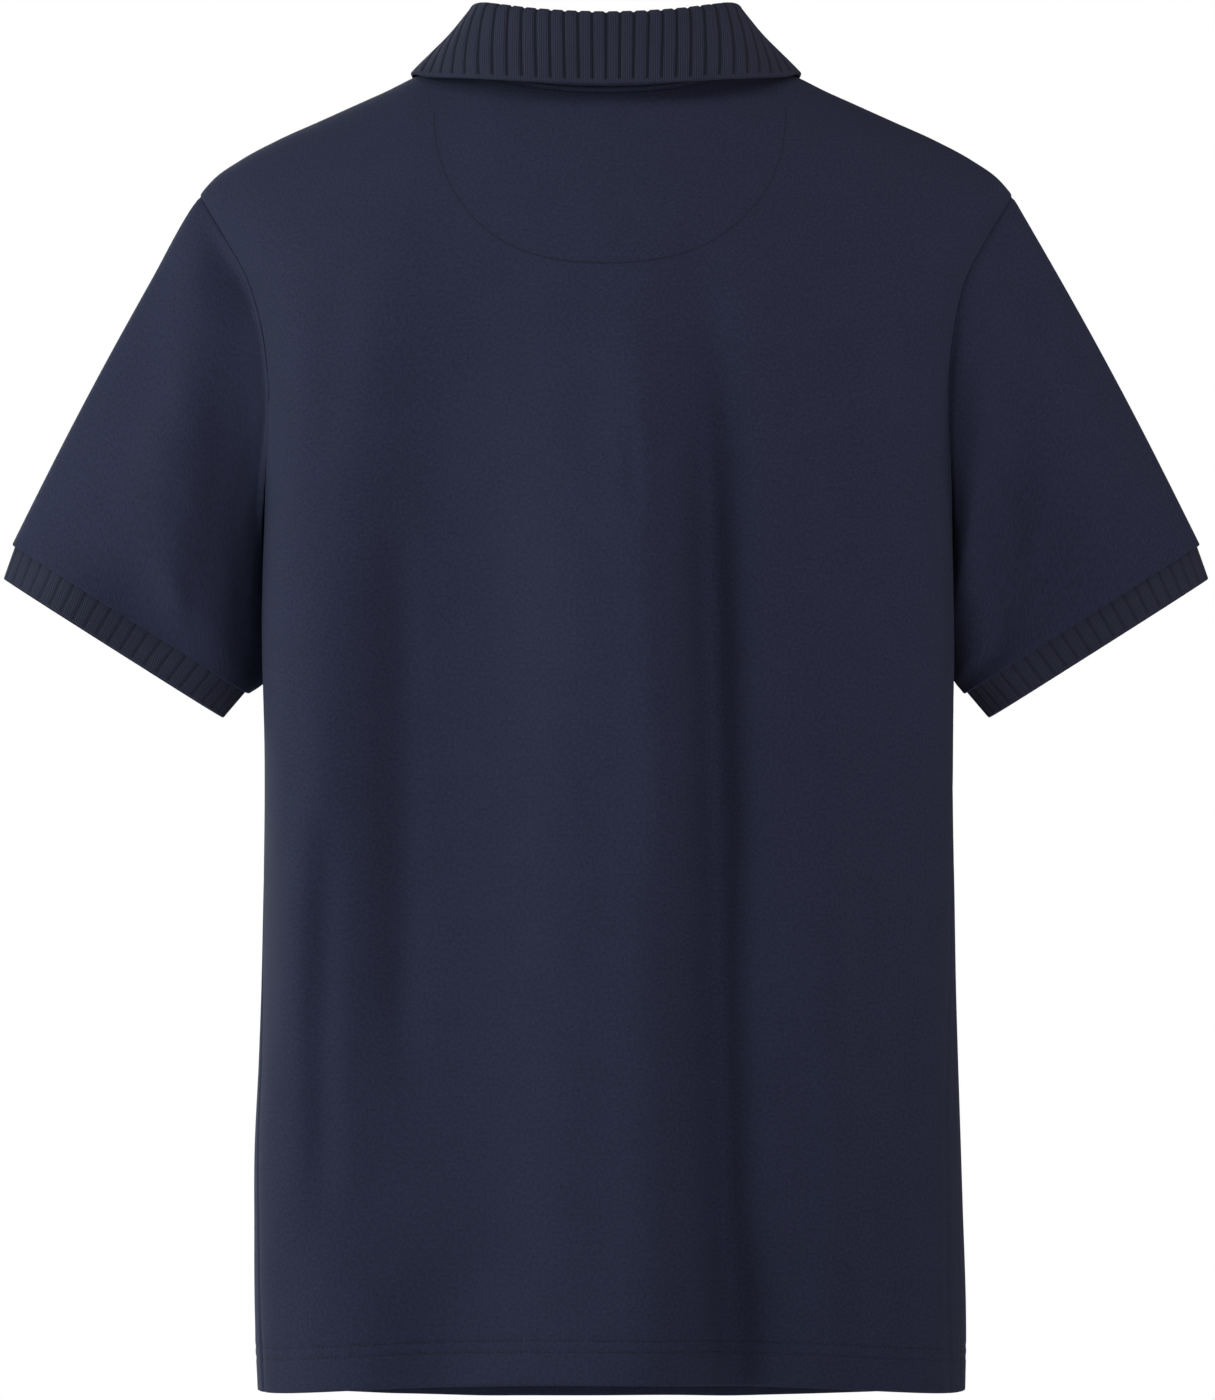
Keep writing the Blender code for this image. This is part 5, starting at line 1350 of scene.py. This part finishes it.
PATCH_HALF_WIDTH = 0.9997 * (MOON_HALF_WIDTH + PATCH_PAST_STITCHES)     # not quite to its tips
across = MOON_MIDDLE[0] + PATCH_HALF_WIDTH * np.sin(np.linspace(-90.0, 90.0, 121) * DEG)
x, share = np.meshgrid(across, 1.0 - (1.0 - np.linspace(0.0, 1.0, 41)) ** 1.5)
low = MOON_MIDDLE[1] - moon_drop(x, PATCH_PAST_STITCHES)
high = top_height(1, x) - PATCH_TOP_GAP
z = low + (high - low) * share
points, normals = cloth_at(1, x, z)
lift = CLOTH + INSIDE_GAP
flat = np.stack(grid_lengths(points), axis=-1)
pieces["neck_patch"] = wall("neck_patch_cloth", points - normals * lift,
                            points - normals * (lift + PATCH_CLOTH), flat, body_knit)
print("patch %.4f square metres" % cloth_area(points))

# %% [markdown]
# ## Stitches, sewn by a node tree
#
# A stitch is a short length of thread that dips into the cloth at both ends, so each is a small
# flattened bead. A tree walks along a line on the cloth, sets a bead every two millimetres or
# so, turns it along the line and lays it flat. Hand-placed beads would give the same picture,
# but with the tree a line can be moved and its stitches follow.

# %% The stitch tree
STITCH_SIZES = ("Stitch pitch", "Stitch length", "Thread width", "Thread height", "Slant")
STITCHES = {                    # those sizes in millimetres, the slant in radians
    "hem_stitches": (2.7, 2.1, 0.6, 0.55, 0.0),
    "half_moon_stitches": (1.9, 1.35, 0.6, 0.55, 0.5),
    "neck_seam_stitches": (2.4, 1.8, 0.5, 0.4, 0.0),
    "placket_stitches": (2.4, 1.9, 0.42, 0.3, 0.0),
    "buttonhole_stitches": (0.5, 1.7, 0.46, 0.5, 90 * DEG),
}
sewing = Chain("sew_stitches", STITCH_SIZES)
line = sewing.node("GeometryNodeMeshToCurve", {}, {"Mesh": sewing.given("Geometry")})
spots = sewing.node("GeometryNodeResampleCurve", {"mode": "LENGTH"},
                    {"Curve": line, "Length": sewing.given("Stitch pitch")})
bead = sewing.node("GeometryNodeMeshUVSphere", {}, {"Segments": 6, "Rings": 4, "Radius": 0.5})
bead_size = sewing.node("ShaderNodeCombineXYZ", {}, {"X": sewing.given("Stitch length"),
                                                     "Y": sewing.given("Thread width"),
                                                     "Z": sewing.given("Thread height")})
slant = sewing.node("ShaderNodeCombineXYZ", {}, {"Z": sewing.given("Slant")})
bead = sewing.node("GeometryNodeTransform", {}, {"Geometry": bead, "Scale": bead_size})
bead = sewing.node("GeometryNodeTransform", {}, {"Geometry": bead, "Rotation": slant})
lie = sewing.node("FunctionNodeAlignRotationToVector", {"axis": "Z"},
                  {"Vector": sewing.mark("lift_way", "FLOAT_VECTOR")})
lie = sewing.node("FunctionNodeAlignRotationToVector", {"axis": "X", "pivot_axis": "Z"},
                  {"Rotation": lie, "Vector": sewing.node("GeometryNodeInputTangent", {}, {})})
sewing.close(sewing.node("GeometryNodeInstanceOnPoints", {},
                         {"Points": spots, "Instance": bead, "Rotation": lie}))


def follow(name, lines, chain, values, ways=None):
    """Gives a tree these lines of points, with the ways off the cloth where it needs them."""
    mesh = bpy.data.meshes.new(name)
    starts = np.cumsum([0] + [len(points) for points in lines])
    edges = [(start + i, start + i + 1) for start, points in zip(starts, lines)
             for i in range(len(points) - 1)]
    mesh.from_pydata(np.concatenate(lines).tolist(), edges, [])
    if ways:
        mark = mesh.attributes.new("lift_way", "FLOAT_VECTOR", "POINT")
        mark.data.foreach_set("vector", np.concatenate(ways).ravel())
    piece = run_tree(add_object(name, mesh), chain, dict(values, Material=sewing_thread))
    piece.data.shade_smooth()
    print(name, len(piece.data.polygons), "faces")
    return piece


def sew(name, lines):
    """lines: points and their ways off the cloth."""
    *sizes, slant = STITCHES[name.replace("back_", "").replace("front_", "")]
    sizes = [size * MM for size in sizes] + [slant]
    points, ways = zip(*lines)
    return follow(name, points, sewing, dict(zip(STITCH_SIZES, sizes)), ways)


# %% Lines to sew
def hem_line(panel, line):
    """The panel's points at this height above its hem edge, from side to side."""
    outer, normals, above = panel["outer"], panel["normals"], panel["above"]
    columns = range(2, outer.shape[1] - 2)
    points = np.array([[np.interp(line, above[:, c], outer[:, c, i]) for i in range(3)]
                       for c in columns])
    row = int(np.argmin(np.abs(above[:, 0] - line)))
    return points, normals[row, 2:-2]


NECK_STITCH_REACH = 78.0 * MM
sewn = {}
for name in ("back", "front"):
    lines = [hem_line(panels[name], line) for line in STITCH_LINES]
    sewn[name] = [sew(name + "_hem_stitches", lines)]

turn = np.linspace(math.pi, TURN, 240)
power = 2.0 / MOON_POWER
x = MOON_MIDDLE[0] + MOON_HALF_WIDTH * np.sign(np.cos(turn)) * np.abs(np.cos(turn)) ** power
z = MOON_MIDDLE[1] - MOON_DROP * np.abs(np.sin(turn)) ** power
sewn["back"].append(sew("half_moon_stitches", [cloth_at(1, x, z)]))

x = np.linspace(-NECK_STITCH_REACH, NECK_STITCH_REACH, 160)
z = neckline_height(1, x) - NECK_STITCH_DROP
sewn["back"].append(sew("neck_seam_stitches", [cloth_at(1, x, z)]))

on_band = SEAM_GAP + PLACKET_CLOTH


def on_placket(start, end, count, lift):
    """A straight line over the upper band, from start to end, each (x, z)."""
    points, normals = cloth_at(-1, *np.linspace(start, end, count).T)
    return points + normals * (on_band + lift), normals


STITCH_SUNK, BAR_RAISED = -0.2 * MM, 0.05 * MM
BOX_TALL = 11.0 * MM            # the stitched box at the placket's foot
HOLE_STITCH_AWAY, HOLE_STITCH_PAST = 1.35 * MM, 0.6 * MM
BAR_HALF_WIDTH, BAR_PAST = 1.9 * MM, 0.9 * MM
side, foot = PLACKET_HALF_WIDTH - 2.0 * MM, PLACKET_BOTTOM + 2.0 * MM
lines = [on_placket(start, end, 80, STITCH_SUNK)
         for start, end in (((-side, band_top), (-side, foot)), ((side, band_top), (side, foot)),
                            ((-side, foot), (side, foot)),
                            ((-side, foot + BOX_TALL), (side, foot + BOX_TALL)))]
sewn["placket_upper"] = [sew("placket_stitches", lines)]

lines = []
for low, high in holes:
    for x in (-HOLE_STITCH_AWAY, HOLE_STITCH_AWAY):
        lines.append(on_placket((x, low - HOLE_STITCH_PAST), (x, high + HOLE_STITCH_PAST), 30, 0.0))
    for z in (low - BAR_PAST, high + BAR_PAST):
        lines.append(on_placket((-BAR_HALF_WIDTH, z), (BAR_HALF_WIDTH, z), 12, BAR_RAISED))
sewn["placket_upper"].append(sew("buttonhole_stitches", lines))

# %% [markdown]
# ## Buttons
#
# Three four-hole buttons, cast in resin: a disc with a raised rim, a dished middle and holes
# that go right through. Each is fastened: it lies on the upper band, and its thread goes down
# through the buttonhole to the under band. The disc is turned from a profile and the holes are
# cut by a boolean, as a drill would.

# %% Turned disc, drilled, with its thread
BUTTON_AIR, BUTTON_FLOOR = 0.3 * MM, 1.80 * MM
BUTTON_SEGMENTS, DRILL_SEGMENTS = 64, 20
HOLE_AWAY, HOLE_RADIUS, THREAD_RADIUS = 1.15 * MM, 0.62, 0.26 * MM
BUTTON_PROFILE = [              # millimetres, radius and height
    (0.0, 0.0), (4.9, 0.0), (5.35, 0.10), (5.65, 0.35), (5.75, 0.80), (5.75, 1.55), (5.66, 2.02),
    (5.42, 2.30), (5.05, 2.40), (4.75, 2.36), (4.50, 2.20), (4.25, 1.96), (3.95, 1.84),
    (3.2, 1.80), (0.0, 1.80)]
BUTTON_SHARP = 38 * DEG
ARCH_SUNK, ARCH_SHOULDER, ARCH_TOP, ARCH_PAIR = 0.1 * MM, 0.22 * MM, 0.34 * MM, 0.2 * MM
SHANK_THREADS, SHANK_WIDE, SHANK_TALL = 5, 0.26 * MM, 0.5 * MM
DRILL_PROFILE = [(0.0, -3.0), (HOLE_RADIUS, -3.0), (HOLE_RADIUS, 6.0), (0.0, 6.0)]


def turned(name, profile, segments):
    """A closed solid turned round Z."""
    vertices, rings = [], []
    for radius, height in profile:
        if radius == 0.0:
            rings.append([len(vertices)])
            vertices.append((0.0, 0.0, height * MM))
            continue
        rings.append(list(range(len(vertices), len(vertices) + segments)))
        for k in range(segments):
            turn = TURN * k / segments
            vertices.append((radius * math.cos(turn) * MM, radius * math.sin(turn) * MM,
                             height * MM))
    faces = []
    for low, high in zip(rings, rings[1:]):
        for k in range(segments):
            n = (k + 1) % segments
            corners = [low[k % len(low)], low[n % len(low)], high[n % len(high)],
                       high[k % len(high)]]
            faces.append(tuple(dict.fromkeys(corners)))
    mesh = bpy.data.meshes.new(name)
    mesh.from_pydata(vertices, [], faces)
    mesh.materials.append(button_resin)
    return add_object(name, mesh)


drill = turned("drill", DRILL_PROFILE, DRILL_SEGMENTS)
blank = turned("button_blank", BUTTON_PROFILE, BUTTON_SEGMENTS)
for x, y in ((i * HOLE_AWAY, j * HOLE_AWAY) for i in (-1, 1) for j in (-1, 1)):
    drill.location = (x, y, 0.0)
    cut = blank.modifiers.new("drill", "BOOLEAN")
    cut.operation, cut.object, cut.solver = "DIFFERENCE", drill, "EXACT"
    bpy.context.view_layer.update()
    blank.data = bpy.data.meshes.new_from_object(
        blank.evaluated_get(bpy.context.evaluated_depsgraph_get()))
    blank.modifiers.remove(cut)
disc = np.array([v.co for v in blank.data.vertices])
disc_faces = [tuple(f.vertices) for f in blank.data.polygons]
bpy.data.objects.remove(drill, do_unlink=True)
bpy.data.objects.remove(blank, do_unlink=True)
print("drilled button:", len(disc), "points,", len(disc_faces), "faces")

# %% Thread as a tube along a line
winding = Chain("wind_thread", ("Thread radius",))
line = winding.node("GeometryNodeMeshToCurve", {}, {"Mesh": winding.given("Geometry")})
ring = winding.node("GeometryNodeCurvePrimitiveCircle", {"mode": "RADIUS"},
                    {"Resolution": 8, "Radius": winding.given("Thread radius")})
winding.close(winding.node("GeometryNodeCurveToMesh", {},
                           {"Curve": line, "Profile Curve": ring, "Fill Caps": True}))
print("thread tree:", len(winding.tree.nodes), "nodes")

# %% Three buttons in place
button_threads = []
for number, height in enumerate(BUTTON_PLACES, start=1):
    (seat,), (out,) = cloth_at(-1, np.array([0.0]), np.array([height]))
    seat = seat + out * (on_band + BUTTON_AIR)
    sideways = unit(np.cross([0.0, 0.0, 1.0], out))
    upward = np.cross(out, sideways)

    def placed(points):
        points = np.asarray(points)
        return seat + points[:, :1] * sideways + points[:, 1:2] * upward + points[:, 2:] * out

    mesh = bpy.data.meshes.new("button_%d_disc" % number)
    mesh.from_pydata(placed(disc).tolist(), [], disc_faces)
    mesh.materials.append(button_resin)
    mesh.shade_smooth()
    mesh.set_sharp_from_angle(angle=BUTTON_SHARP)
    pieces["button_%d" % number] = add_object("button_%d_disc" % number, mesh)
    top, deep = BUTTON_FLOOR, -(BUTTON_AIR + on_band - UNDER_LIFT - PLACKET_CLOTH)
    lines = []
    for x in (-HOLE_AWAY, HOLE_AWAY):
        arch = [(x, -HOLE_AWAY, -ARCH_SUNK), (x, -HOLE_AWAY, top - ARCH_SUNK),
                (x, -0.8 * HOLE_AWAY, top + ARCH_SHOULDER), (x, 0.0, top + ARCH_TOP)]
        arch += [(x, -y, z) for x, y, z in arch[2::-1]]
        for slide in (-ARCH_PAIR, ARCH_PAIR):
            lines.append(placed(np.array(arch) + [slide, 0.0, 0.0]))
    for turn in np.arange(SHANK_THREADS) * TURN / SHANK_THREADS:
        x, y = SHANK_WIDE * math.cos(turn), SHANK_TALL * math.sin(turn)
        lines.append(placed([(2.6 * x, 1.8 * y, 0.0), (x, y, -0.5 * MM), (x, y, deep + 0.3 * MM),
                             (1.6 * x, 1.6 * y, deep + 0.05 * MM)]))
    button_threads.append(follow("button_%d_thread" % number, lines, winding,
                                 {"Thread radius": THREAD_RADIUS}))
print("buttons at", [round(height, 3) for height in BUTTON_PLACES])

# %% [markdown]
# ## Riding on the body
#
# Every piece rides on the imported model's one body, and the plain solid of the same name is
# hidden.

# %% Tie the pieces to the imported model
SLOTS = {"cuff_left": "navy_rib_knit", "cuff_right": "navy_rib_knit", "collar": "navy_rib_knit",
         "button_1": "navy_button", "button_2": "navy_button", "button_3": "navy_button"}
worn = [(piece, SLOTS.get(name, "navy_pique")) for name, piece in pieces.items()]
worn += [(piece, "navy_pique") for threads in sewn.values() for piece in threads]
worn += [(piece, "navy_button") for piece in button_threads]
for piece, slot in worn:
    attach(piece, "root")
for name, piece in pieces.items():
    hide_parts(name)
print(len(pieces), "pieces stand for", len(pieces), "solids")

# %% [markdown]
# The bounds of all that is shown, beside those of the imported model.

# %% Bounds of the dressed shirt
for name in ("left", "right"):
    pieces["sleeve_" + name]
    pieces["cuff_" + name]

low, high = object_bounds()
{"cad": [list(cad_low), list(cad_high)], "visual": [list(low), list(high)]}
print("CAD box", [round(v, 4) for v in (*cad_low, *cad_high)])
print("dressed", [round(v, 4) for v in (*low, *high)])
